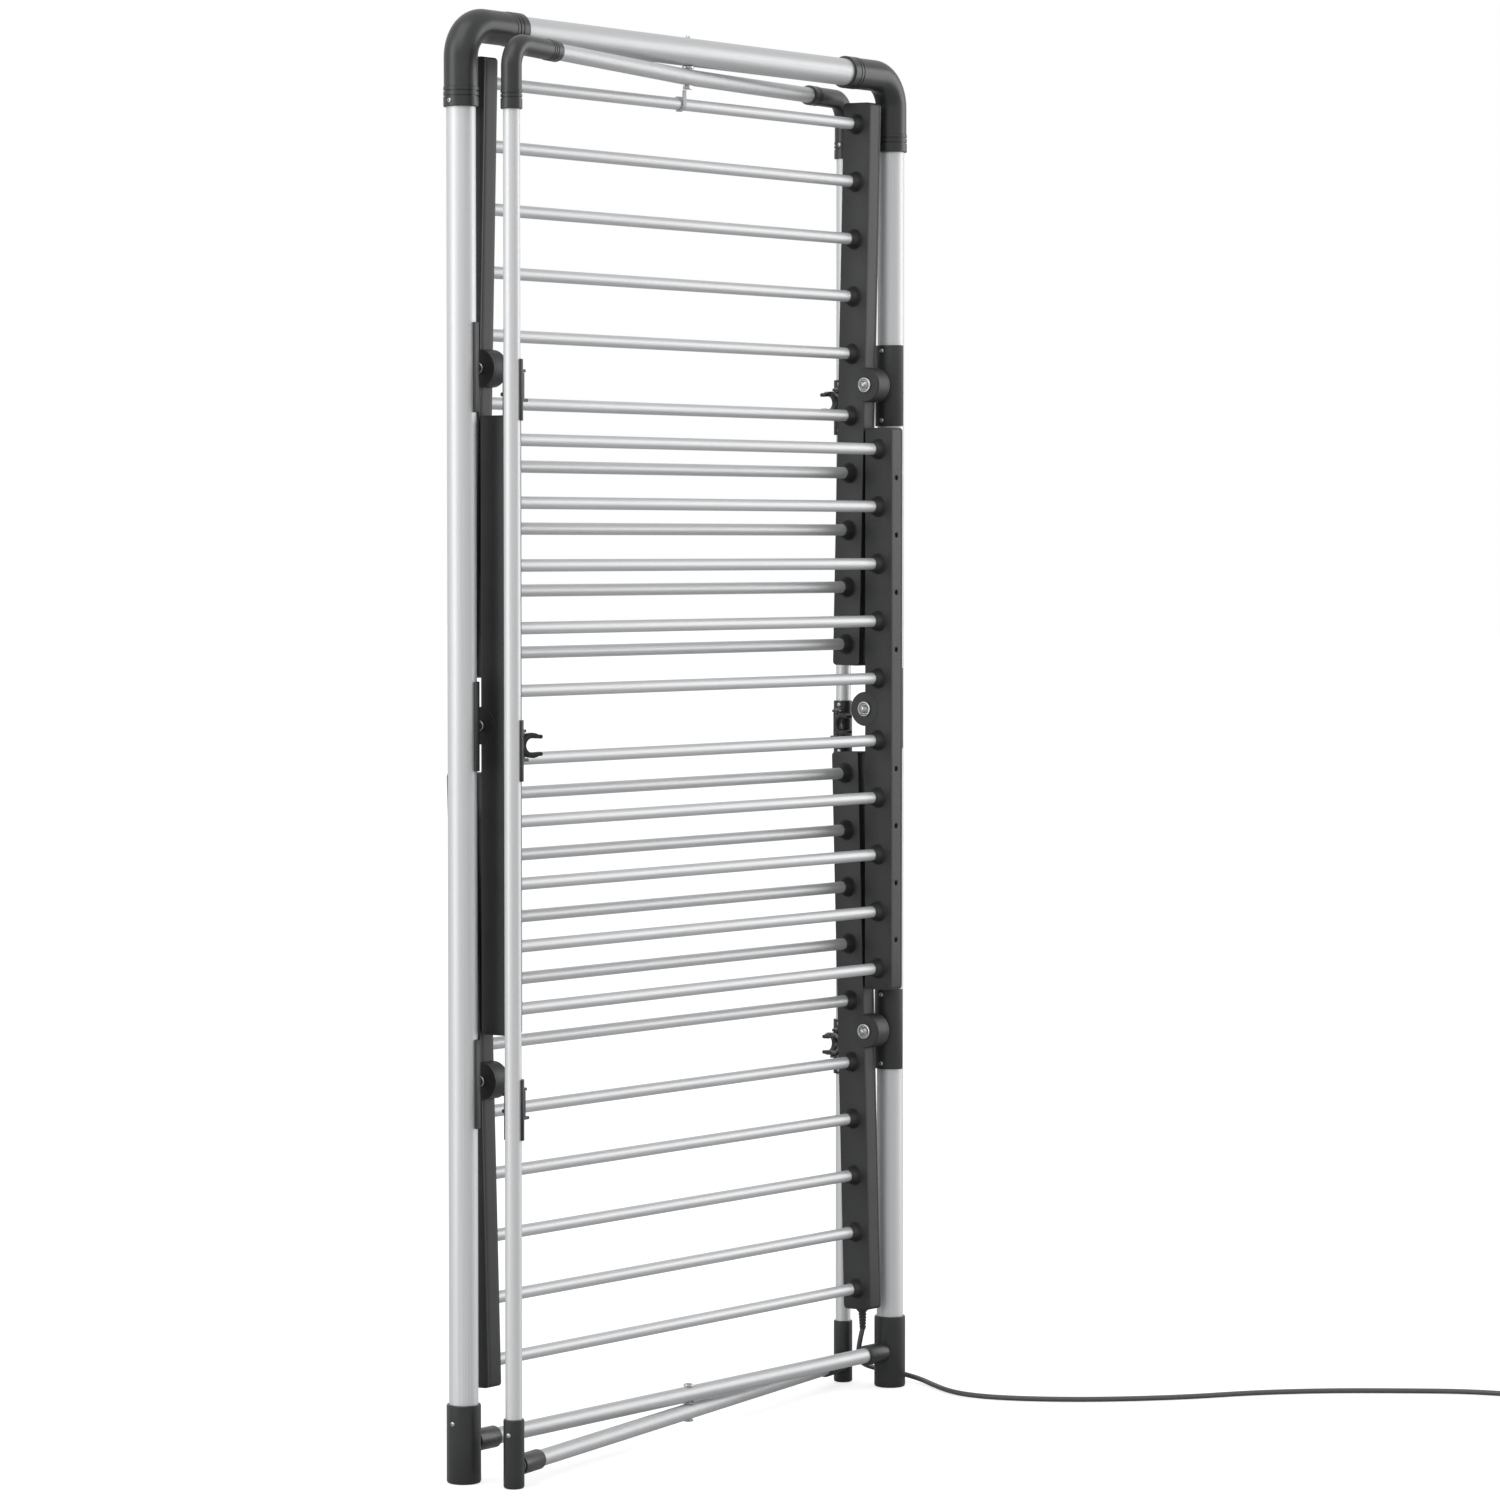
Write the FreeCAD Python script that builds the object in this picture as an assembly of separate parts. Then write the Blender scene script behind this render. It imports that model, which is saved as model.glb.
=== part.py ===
"""Folding heated clothes airer: a thick outer frame and a thin inner frame cross on a vertical
pivot, and three ten-rung heated shelves hang on pivots between the outer posts.

Millimetres. X runs along the rungs, Y to the back, Z up. The origin is on the floor,
under the pivot where the two frames cross. The model stands folded, as it is stored.
"""
import FreeCAD, Part
import math
import os

Vec = FreeCAD.Vector
X, Y, Z = Vec(1, 0, 0), Vec(0, 1, 0), Vec(0, 0, 1)
os.makedirs("parts", exist_ok=True)

# ---------------------------------------------------------------- driving dimensions
height = 1400.0              # floor to the top of the outer frame
outer_half_width = 351.0     # centre to the axis of an outer post
inner_post_inset = 1.0       # an inner post stands this much nearer the centre
folded_angle = 9.4           # between the two frames when folded

outer_tube_radius = 14.0
inner_tube_radius = 8.0
lower_bar_radius = 8.0       # bottom bar of the outer frame
tube_wall = 1.2
socket_gap = 0.05            # a tube in its plastic socket
running_gap = 0.08           # a turning hole on its pin

outer_elbow_wall = 2.2       # an elbow's radius over its tube's
outer_bend_radius = 32.0
outer_elbow_drop = 78.5      # from the top bar's axis down to the elbow's mouth
outer_elbow_reach = 85.0     # from the post's axis in to the elbow's mouth
inner_elbow_wall = 1.8
inner_bend_radius = 22.0
inner_elbow_drop = 62.0
inner_elbow_reach = 84.0
band_height = 0.5            # two raised bands round each mouth of an elbow
band_groove = 1.2            # between the two bands
outer_bands = (9.4, 8.3)     # lengths, from the mouth
inner_bands = (9.9, 6.8)
post_stop = 6.0              # a post ends this far below its elbow's bend
bar_stop = 8.0               # a top bar ends this far short of its elbow's bend

outer_foot_wall = 2.5
outer_foot_height = 75.5
outer_foot_sole = 12.0
outer_stub_wall = 2.6
inner_foot_wall = 2.0
inner_foot_height = 66.0
inner_foot_sole = 10.0
inner_stub_wall = 1.8
stub_length = 46.0           # post axis to the end of a foot's bar socket
bar_entry = 1.2              # a bottom bar's end lies this far inside a foot's round wall
end_slack = 0.3              # past a bottom bar's end
sole_slack = 0.5             # under a post's end

outer_bottom_bar_z = 38.0
bottom_spacer = 1.5
top_spacer = 3.0
inner_bar_rise = 4.0         # the inner top bar dips this much to pass under the outer one
frame_pin_radius = 3.0
frame_pin_head = 5.0         # radius
bottom_nut_height = 1.8
top_nut_height = 3.8
bottom_head_height = 3.0
spacer_slack = 0.2           # beside each spacer and nut
bottom_spacer_radius = 6.5
top_spacer_radius = 6.0
pin_cap_rise = 0.6           # the top pin's end over the top bar
pin_cap_prong = 2.4

upper_pivot_drop = 338.0     # outer frame's top down to the upper shelf's pivot
lower_pivot_z = 382.0
shelf_lean = {"upper": 1.35, "middle": 0.0, "lower": -1.6}
rung_radius = 6.0
rung_wall = 0.8
rung_pitch = 60.0
rung_centre_gap = 65.0
rungs_per_shelf = 10
rail_setback = 33.0          # an outer post's inner face to a rail's inner face
rail_width = 20.0            # along X, cover included
rail_depth = 34.0            # along Y
rail_end_margin = 22.5       # from the last rung's axis to the rail's end
rail_wall = 3.0
rail_corner = 4.0
cover_thickness = 2.5
rail_screw_radius = 2.7      # blind screw holes on the rail's face away from its pivot
rail_screw_depth = 2.4
rail_screw_start = 62.5      # first screw hole, from the middle of the rail
rail_screw_pitch = 60.0
rail_screws_per_half = 4
hub_wall = 6.0               # solid plastic round a pivot pin inside the rail
shelf_gap = 0.5              # from the pivot plane to a rail's face
boss_length = 12.0
boss_base_radius = 10.0
boss_tip_radius = 7.2
lug_radius = 18.0
pivot_pin_radius = 4.0
pivot_head_radius = 4.8
washer_radius = 8.0
washer_thickness = 1.5
side_gap = 0.4               # beside a turning rail

bracket_height = 85.0
bracket_wall = 2.5
bracket_boss_radius = 8.0
bracket_boss_height = 1.0
bush_radius = 5.0
bracket_screw_inset = 6.0    # from a bracket's end
screw_head_radius = 2.4
screw_head_height = 1.4
screw_radius = 1.5
screw_length = 5.0
screw_gap = 0.02
screw_tip_gap = 0.2
outer_elbow_screw_rise = 5.2     # over the elbow's mouth
inner_elbow_screw_rise = 14.5
outer_foot_screw_drop = 17.5     # under the foot's top
inner_foot_screw_drop = 14.5

saddle_height = 58.0
saddle_wall = 2.5
saddle_drop = 22.0           # saddle centre below the shelf's pivot
saddle_screw_inset = 4.5
clip_pin_radius = 2.0
clip_pin_end = 0.6           # past its ears
clip_pin_reach = 7.5         # inner post's face to the clip's swivel pin
clip_ring_radius = 12.0
clip_bore_slack = 1.0        # round a rung
clip_mouth = 13.0
clip_width = 8.0
clip_hub_radius = 4.0
clip_ring_offset = 11.0      # swivel pin to the clip ring's axis
ear_thickness = 3.0
ear_gap = 0.3
ledge_reach = 16.0           # inner post's face to the end of a saddle's lower ear
clip_swivel = {"upper_left": 80.0, "middle_left": -33.0, "lower_left": 80.0,
               "upper_right": -20.0, "middle_right": 64.0, "lower_right": -9.0}

heater_radius = 1.5
bus_radius = 1.2
bus_gap = 0.3

cord_radius = 2.7
cord_z = 2.9
gland_length = 22.0          # tapered strain relief below the lower shelf's rail
gland_top_radius = 4.6
gland_tip_radius = 3.2
cord_gap = 2.0               # from the turning gland to the resting cord
coil_turns_radius = 29.5     # middle of the coil's turns
coil_centre = (371.0, -655.0)    # from the right outer post's axis
plug_body = (38.0, 34.0, 24.0)
plug_corner = 5.0
plug_pin_length = 18.0
plug_lift = 0.3              # under the plug's body

hook_width = 4.8
hook_wall = 1.6
hook_gap = 0.1               # round the rung
hook_tongue = 1.5            # thickness
hook_mouth = 2.0             # from the rung's axis to the hook's open side
hook_head_gap = 0.7          # under the top pivot's nut

# ---------------------------------------------------------------- derived sizes
inner_half_width = outer_half_width - inner_post_inset
outer_elbow_radius = outer_tube_radius + outer_elbow_wall
inner_elbow_radius = inner_tube_radius + inner_elbow_wall
outer_foot_radius = outer_tube_radius + outer_foot_wall
inner_foot_radius = inner_tube_radius + inner_foot_wall
outer_stub_radius = lower_bar_radius + outer_stub_wall
inner_stub_radius = inner_tube_radius + inner_stub_wall
upper_pivot_z = height - upper_pivot_drop
shelf_z = {"upper": upper_pivot_z, "middle": (upper_pivot_z + lower_pivot_z) / 2,
           "lower": lower_pivot_z}
top_bar_z = height - outer_tube_radius
inner_top_bar_z = top_bar_z - outer_tube_radius - top_spacer - inner_tube_radius
inner_bottom_bar_z = outer_bottom_bar_z - lower_bar_radius - bottom_spacer - inner_tube_radius
rung_plane = shelf_gap + rail_depth / 2
rung_reach = rung_centre_gap / 2 + (rungs_per_shelf / 2 - 1) * rung_pitch
rail_half_length = rung_reach + rail_end_margin
post_face_x = outer_half_width - outer_tube_radius
rail_inner_x = post_face_x - rail_setback
rail_outer_x = rail_inner_x + rail_width
shell_outer_x = rail_outer_x - cover_thickness
bracket_face_x = post_face_x - bracket_wall - bracket_boss_height
clip_drop = rung_plane       # an unfolded shelf's rungs lie this far below its pivot
clip_bore_radius = rung_radius + clip_bore_slack
pin_x = inner_half_width - inner_tube_radius - clip_pin_reach
clip_hub_half = clip_ring_radius
ear_z = clip_hub_half + ear_gap
coil_x = outer_half_width + coil_centre[0]
coil_y = coil_centre[1]
coil_side = coil_turns_radius + cord_radius
SIDES = {"left": -1, "right": 1}

nodes = {}


# ---------------------------------------------------------------- small shapes
def rod(start, direction, length, radius):
    return Part.makeCylinder(radius, length, start, direction)


def pipe(start, direction, length, radius, wall):
    return rod(start, direction, length, radius).cut(rod(start, direction, length, radius - wall))


def ring(start, direction, length, outer, inner):
    return rod(start, direction, length, outer).cut(rod(start, direction, length, inner))


def rounded_block(low, high, radius, axis="Z"):
    block = Part.makeBox(high.x - low.x, high.y - low.y, high.z - low.z, low)
    edges = []
    for edge in block.Edges:
        a, b = edge.Vertexes[0].Point, edge.Vertexes[1].Point
        run = {"X": abs(a.x - b.x), "Y": abs(a.y - b.y), "Z": abs(a.z - b.z)}
        if run[axis] > 1e-6:
            edges.append(edge)
    return block.makeFillet(radius, edges)


def mirrored(shape, side):
    return shape.mirror(Vec(0, 0, 0), X) if side < 0 else shape


def half_turned(shape, side):
    """The inner frame's left half is its right half turned half a turn about the pivot."""
    copy = shape.copy()
    if side < 0:
        copy.rotate(Vec(0, 0, 0), Z, 180)
    return copy


def turned(shape, base, axis, degrees):
    copy = shape.copy()
    copy.rotate(base, axis, degrees)
    return copy


def with_holes(shape, tools):
    for tool in tools:
        shape = shape.cut(tool)
    return shape


def screw(seat, inward):
    """Domed screw: the head stands off the seat, the shank goes along inward. The sphere's
    seam is turned to the side, off the dome."""
    head = turned(Part.makeSphere(screw_head_radius, seat), seat, Z, 90)
    head = head.common(rod(seat - inward * screw_head_height, inward, screw_head_height,
                           screw_head_radius))
    return head.fuse(rod(seat, inward, screw_length, screw_radius)).removeSplitter()


def screw_hole(seat, inward):
    run_out = 2 * screw_head_height
    return rod(seat - inward * run_out, inward, run_out + screw_length + screw_tip_gap,
               screw_radius + screw_gap)


# ---------------------------------------------------------------- frame corners and feet
def bent_bar(path_radius, corner, rise, drop, reach, radius):
    """Round bar along an elbow: up from drop below the corner, round the bend, then in to
    reach from the corner. A tilted leg falls by rise degrees towards the centre."""
    leg = Vec(-math.cos(math.radians(rise)), 0, -math.sin(math.radians(rise)))
    turn = math.radians(90 + rise)
    tangent = path_radius * math.tan(turn / 2)
    start = corner - Z * drop
    bend_start = corner - Z * tangent
    bend_end = corner + leg * tangent
    centre = bend_start - X * path_radius
    middle = centre + Vec(math.cos(turn / 2), 0, math.sin(turn / 2)) * path_radius
    end = corner + leg * (reach / math.cos(math.radians(rise)))
    path = Part.Wire([Part.makeLine(start, bend_start),
                      Part.Arc(bend_start, middle, bend_end).toShape(),
                      Part.makeLine(bend_end, end)])
    profile = Part.Wire([Part.makeCircle(radius, start, Z)])
    return path.makePipeShell([profile], True, False), bend_start, bend_end, leg


def elbow(corner, rise, drop, reach, radius, bore, path_radius, bands):
    """Corner fitting with two raised bands round each mouth."""
    body, bend_start, bend_end, leg = bent_bar(path_radius, corner, rise, drop, reach, radius)
    mouth_z = corner - Z * drop
    mouth_x = corner + leg * (reach / math.cos(math.radians(rise)))
    for offset, length in ((0, bands[0]), (bands[0] + band_groove, bands[1])):
        body = body.fuse(rod(mouth_z + Z * offset, Z, length, radius + band_height))
        body = body.fuse(rod(mouth_x - leg * offset, leg * -1, length, radius + band_height))
    core = bent_bar(path_radius, corner, rise, drop + 1, reach + 1, bore - 2 * tube_wall)[0]
    down = rod(bend_start, Z * -1, drop + 1, bore)
    along = rod(bend_end, leg, reach + 1, bore)
    return body.cut(core).cut(down).cut(along)


def foot(x, bar_z, radius, tall, sole, tube_radius, stub_radius, bar_radius):
    """Foot socket with a side socket towards the centre for the bottom bar."""
    body = rod(Vec(x, 0, 0), Z, tall, radius)
    stub_end = x - stub_length
    body = body.fuse(rod(Vec(stub_end, 0, bar_z), X, stub_length, stub_radius)).removeSplitter()
    bore = rod(Vec(x, 0, sole), Z, tall, tube_radius + socket_gap)
    bar_bore = rod(Vec(stub_end - 1, 0, bar_z), X,
                   1 + stub_length - radius + bar_entry + end_slack, bar_radius + socket_gap)
    return body.cut(bore).cut(bar_bore)


def half_shell(axis_x, z_low, tall, bore, outer):
    """Half tube on the side of a post that faces the centre."""
    shell = ring(Vec(axis_x, 0, z_low), Z, tall, outer, bore)
    keep = Part.makeBox(2 * outer, 4 * outer, tall, Vec(axis_x - 2 * outer, -2 * outer, z_low))
    return shell.common(keep)


# ---------------------------------------------------------------- outer frame, right half
outer_screws = []
outer_screw_holes = []
post_top = top_bar_z - outer_bend_radius - post_stop
post_foot = outer_foot_sole + sole_slack
post = pipe(Vec(outer_half_width, 0, post_foot), Z, post_top - post_foot, outer_tube_radius,
            tube_wall)
outer_elbow = elbow(Vec(outer_half_width, 0, top_bar_z), 0, outer_elbow_drop,
                    outer_elbow_reach, outer_elbow_radius, outer_tube_radius + socket_gap,
                    outer_bend_radius, outer_bands)
outer_foot = foot(outer_half_width, outer_bottom_bar_z, outer_foot_radius, outer_foot_height,
                  outer_foot_sole, outer_tube_radius, outer_stub_radius, lower_bar_radius)

for z_screw, radius in ((outer_foot_height - outer_foot_screw_drop, outer_foot_radius),
                        (top_bar_z - outer_elbow_drop + outer_elbow_screw_rise,
                         outer_elbow_radius + band_height)):
    seat = Vec(outer_half_width + radius, 0, z_screw)
    outer_screws.append(screw(seat, X * -1))
    outer_screw_holes.append(screw_hole(seat, X * -1))

brackets = {}
for level, z_pivot in shelf_z.items():
    bracket = half_shell(outer_half_width, z_pivot - bracket_height / 2, bracket_height,
                         outer_tube_radius + socket_gap, outer_tube_radius + bracket_wall)
    pad = rod(Vec(bracket_face_x, 0, z_pivot), X, bracket_wall + bracket_boss_height + 2,
              bracket_boss_radius)
    pad = pad.cut(rod(Vec(outer_half_width, 0, z_pivot - 20), Z, 40,
                      outer_tube_radius + socket_gap))
    brackets[level] = bracket.fuse(pad).removeSplitter()
    for step in (-1, 1):
        seat = Vec(post_face_x - bracket_wall, 0,
                   z_pivot + step * (bracket_height / 2 - bracket_screw_inset))
        outer_screws.append(screw(seat, X))
        outer_screw_holes.append(screw_hole(seat, X))

pivot_holes = [rod(Vec(bracket_face_x - 1, 0, z_pivot), X, 12, pivot_pin_radius + socket_gap)
               for z_pivot in shelf_z.values()]

for name, side in SIDES.items():
    nodes["outer_post_" + name] = mirrored(with_holes(post, outer_screw_holes + pivot_holes), side)
    nodes["outer_elbow_" + name] = mirrored(with_holes(outer_elbow, outer_screw_holes), side)
    nodes["outer_foot_" + name] = mirrored(with_holes(outer_foot, outer_screw_holes), side)
    for level, bracket in brackets.items():
        nodes["pivot_bracket_" + level + "_" + name] = mirrored(
            with_holes(bracket, outer_screw_holes + pivot_holes), side)

top_bar_end = outer_half_width - outer_bend_radius - bar_stop
top_bar = pipe(Vec(-top_bar_end, 0, top_bar_z), X, 2 * top_bar_end, outer_tube_radius, tube_wall)
top_pin_hole = rod(Vec(0, 0, top_bar_z - 20), Z, 40, frame_pin_radius + socket_gap)
nodes["outer_top_bar"] = top_bar.cut(top_pin_hole)
bottom_bar_end = outer_half_width - outer_foot_radius + bar_entry
bottom_bar = pipe(Vec(-bottom_bar_end, 0, outer_bottom_bar_z), X, 2 * bottom_bar_end,
                  lower_bar_radius, tube_wall)
nodes["outer_bottom_bar"] = bottom_bar.cut(
    rod(Vec(0, 0, outer_bottom_bar_z - 20), Z, 40, frame_pin_radius + socket_gap))
nodes["outer_screws"] = Part.makeCompound(
    outer_screws + [mirrored(one, -1) for one in outer_screws])

# shelf pivot pins: head and washer inside the rail, bush between the rail and the bracket
for level, z_pivot in shelf_z.items():
    pieces = []
    washer_x = rail_inner_x - side_gap - washer_thickness
    shank = rod(Vec(washer_x, 0, z_pivot), X, outer_half_width - 8 - washer_x, pivot_pin_radius)
    head = Part.makeSphere(pivot_head_radius, Vec(washer_x, 0, z_pivot)).common(
        rod(Vec(washer_x - 3, 0, z_pivot), X, 3, pivot_head_radius))
    pieces.append(shank.fuse(head).removeSplitter())
    pieces.append(ring(Vec(washer_x, 0, z_pivot), X, washer_thickness, washer_radius,
                       pivot_pin_radius + socket_gap))
    bush_start = rail_outer_x + side_gap
    pieces.append(ring(Vec(bush_start, 0, z_pivot), X, bracket_face_x - bush_start,
                       bush_radius, pivot_pin_radius + socket_gap))
    nodes["pivot_pins_" + level] = Part.makeCompound(
        [mirrored(piece, side) for side in SIDES.values() for piece in pieces])

# vertical pins that join the two frames
pin_bore = frame_pin_radius + socket_gap
low_nut_z = inner_bottom_bar_z - inner_tube_radius - bottom_nut_height - spacer_slack
head_z = outer_bottom_bar_z + lower_bar_radius
bottom_pin = rod(Vec(0, 0, low_nut_z), Z, head_z + 1 - low_nut_z, frame_pin_radius)
bottom_head = rod(Vec(0, 0, head_z), Z, bottom_head_height, frame_pin_head)
spacer_z = outer_bottom_bar_z - lower_bar_radius - bottom_spacer + spacer_slack
bottom_spacer_ring = ring(Vec(0, 0, spacer_z), Z, bottom_spacer - spacer_slack,
                          bottom_spacer_radius, pin_bore)
bottom_nut = ring(Vec(0, 0, low_nut_z), Z, bottom_nut_height, frame_pin_head, pin_bore)
top_nut_z = inner_top_bar_z - inner_tube_radius - top_nut_height - spacer_slack
top_pin = rod(Vec(0, 0, top_nut_z), Z, height + pin_cap_rise - top_nut_z, frame_pin_radius)
for step in (-1, 1):
    top_pin = top_pin.fuse(rod(Vec(step * 2.0, 0, height), Z, pin_cap_prong, 0.9))
spacer_z = top_bar_z - outer_tube_radius - top_spacer + spacer_slack
top_spacer_ring = ring(Vec(0, 0, spacer_z), Z, top_spacer - spacer_slack, top_spacer_radius,
                       pin_bore)
top_nut = ring(Vec(0, 0, top_nut_z), Z, top_nut_height, frame_pin_head, pin_bore)
nodes["frame_pivot_pins"] = Part.makeCompound(
    [bottom_pin.fuse(bottom_head).removeSplitter(), bottom_spacer_ring, bottom_nut,
     top_pin.removeSplitter(), top_spacer_ring, top_nut])

# ---------------------------------------------------------------- inner frame, right half
inner_rise = math.degrees(math.atan(inner_bar_rise / inner_half_width))
inner_corner = Vec(inner_half_width, 0, inner_top_bar_z + inner_bar_rise)
inner_post_top = inner_corner.z - inner_bend_radius - post_stop
inner_post_foot = inner_foot_sole + sole_slack
inner_post = pipe(Vec(inner_half_width, 0, inner_post_foot), Z, inner_post_top - inner_post_foot,
                  inner_tube_radius, tube_wall)
inner_elbow = elbow(inner_corner, inner_rise, inner_elbow_drop, inner_elbow_reach,
                    inner_elbow_radius, inner_tube_radius + socket_gap, inner_bend_radius,
                    inner_bands)
inner_foot = foot(inner_half_width, inner_bottom_bar_z, inner_foot_radius, inner_foot_height,
                  inner_foot_sole, inner_tube_radius, inner_stub_radius, inner_tube_radius)

inner_screws = []
inner_screw_holes = []
foot_screw_z = inner_foot_height - inner_foot_screw_drop
elbow_screw_z = inner_corner.z - inner_elbow_drop + inner_elbow_screw_rise
for seat, inward in (
        (Vec(inner_half_width + inner_foot_radius, 0, foot_screw_z), X * -1),
        (Vec(inner_half_width - inner_elbow_radius - band_height, 0, elbow_screw_z), X)):
    inner_screws.append(screw(seat, inward))
    inner_screw_holes.append(screw_hole(seat, inward))

saddles = {}
for level, z_pivot in shelf_z.items():
    z_saddle = z_pivot - saddle_drop
    z_clip = z_pivot - clip_drop
    saddle = half_shell(inner_half_width, z_saddle - saddle_height / 2, saddle_height,
                        inner_tube_radius + socket_gap, inner_tube_radius + saddle_wall)
    post_room = rod(Vec(inner_half_width, 0, z_clip - 40), Z, 80, inner_tube_radius + socket_gap)
    for z_ear, tip in (
            (z_clip + ear_z, inner_tube_radius + clip_pin_reach + clip_hub_radius),
            (z_clip - ear_z - ear_thickness, inner_tube_radius + ledge_reach)):
        arm = Part.makeBox(tip, 2 * clip_hub_radius, ear_thickness,
                           Vec(inner_half_width - tip, -clip_hub_radius, z_ear))
        saddle = saddle.fuse(arm.cut(post_room))
    swivel_hole = rod(Vec(pin_x, 0, z_clip - 20), Z, 40, clip_pin_radius + socket_gap)
    saddles[level] = saddle.removeSplitter().cut(swivel_hole)
    pin_half = ear_z + ear_thickness + clip_pin_end
    inner_screws.append(rod(Vec(pin_x, 0, z_clip - pin_half), Z, 2 * pin_half, clip_pin_radius))
    for step in (-1, 1):
        seat = Vec(inner_half_width - inner_tube_radius - saddle_wall, 0,
                   z_saddle + step * (saddle_height / 2 - saddle_screw_inset))
        inner_screws.append(screw(seat, X))
        inner_screw_holes.append(screw_hole(seat, X))


def folded(shape, side):
    return turned(half_turned(shape, side), Vec(0, 0, 0), Z, folded_angle)


for name, side in SIDES.items():
    nodes["inner_post_" + name] = folded(with_holes(inner_post, inner_screw_holes), side)
    nodes["inner_elbow_" + name] = folded(with_holes(inner_elbow, inner_screw_holes), side)
    nodes["inner_foot_" + name] = folded(with_holes(inner_foot, inner_screw_holes), side)
    for level, saddle in saddles.items():
        nodes["clip_saddle_" + level + "_" + name] = folded(
            with_holes(saddle, inner_screw_holes), side)
nodes["inner_screws"] = Part.makeCompound(
    [folded(one, side) for side in SIDES.values() for one in inner_screws])

# the inner top bar is two straight halves that dip to the pivot
bar_slope = math.radians(inner_rise)
bar_length = (inner_half_width - inner_bend_radius - bar_stop) / math.cos(bar_slope)
uphill = Vec(math.cos(bar_slope), 0, math.sin(bar_slope))
right_side = Part.makeBox(2 * inner_half_width, 60, 120, Vec(0, -30, inner_top_bar_z - 60))
bar_foot = Vec(0, 0, inner_top_bar_z) - uphill * 5
half_bar = rod(bar_foot, uphill, bar_length + 5, inner_tube_radius).common(right_side)
half_bore = rod(bar_foot, uphill, bar_length + 6, inner_tube_radius - tube_wall)
half_bore = half_bore.common(right_side)
inner_bar = half_bar.fuse(half_turned(half_bar, -1))
inner_bar = inner_bar.cut(half_bore.fuse(half_turned(half_bore, -1)))
turning_hole = rod(Vec(0, 0, inner_top_bar_z - 20), Z, 40, frame_pin_radius + running_gap)
nodes["inner_top_bar"] = folded(inner_bar.cut(turning_hole), 1)
low_bar_end = inner_half_width - inner_foot_radius + bar_entry
low_bar = pipe(Vec(-low_bar_end, 0, inner_bottom_bar_z), X, 2 * low_bar_end,
               inner_tube_radius, tube_wall)
turning_hole = rod(Vec(0, 0, inner_bottom_bar_z - 20), Z, 40, frame_pin_radius + running_gap)
nodes["inner_bottom_bar"] = folded(low_bar.cut(turning_hole), 1)

# ---------------------------------------------------------------- rung clips
clip = rod(Vec(0, -clip_width / 2, 0), Y, clip_width, clip_ring_radius)
clip = clip.cut(rod(Vec(0, -clip_width, 0), Y, 2 * clip_width, clip_bore_radius))
clip = clip.cut(Part.makeBox(2 * clip_ring_radius, 2 * clip_width, clip_mouth,
                             Vec(-2 * clip_ring_radius, -clip_width, -clip_mouth / 2)))
hub = rod(Vec(clip_ring_offset, 0, -clip_hub_half), Z, 2 * clip_hub_half, clip_hub_radius)
hub = hub.cut(rod(Vec(0, -clip_width, 0), Y, 2 * clip_width, clip_bore_radius))
clip = clip.fuse(hub).removeSplitter()
clip = clip.cut(rod(Vec(clip_ring_offset, 0, -20), Z, 40, clip_pin_radius + running_gap))
for level, z_pivot in shelf_z.items():
    for name, side in SIDES.items():
        placed = clip.translated(Vec(pin_x - clip_ring_offset, 0, z_pivot - clip_drop))
        placed = turned(placed, Vec(pin_x, 0, 0), Z, clip_swivel[level + "_" + name])
        nodes["rung_clip_" + level + "_" + name] = folded(placed, side)

# ---------------------------------------------------------------- shelves
rung_offsets = []
for step in range(rungs_per_shelf // 2):
    rung_offsets.append(rung_centre_gap / 2 + step * rung_pitch)
    rung_offsets.append(-rung_centre_gap / 2 - step * rung_pitch)


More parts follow.
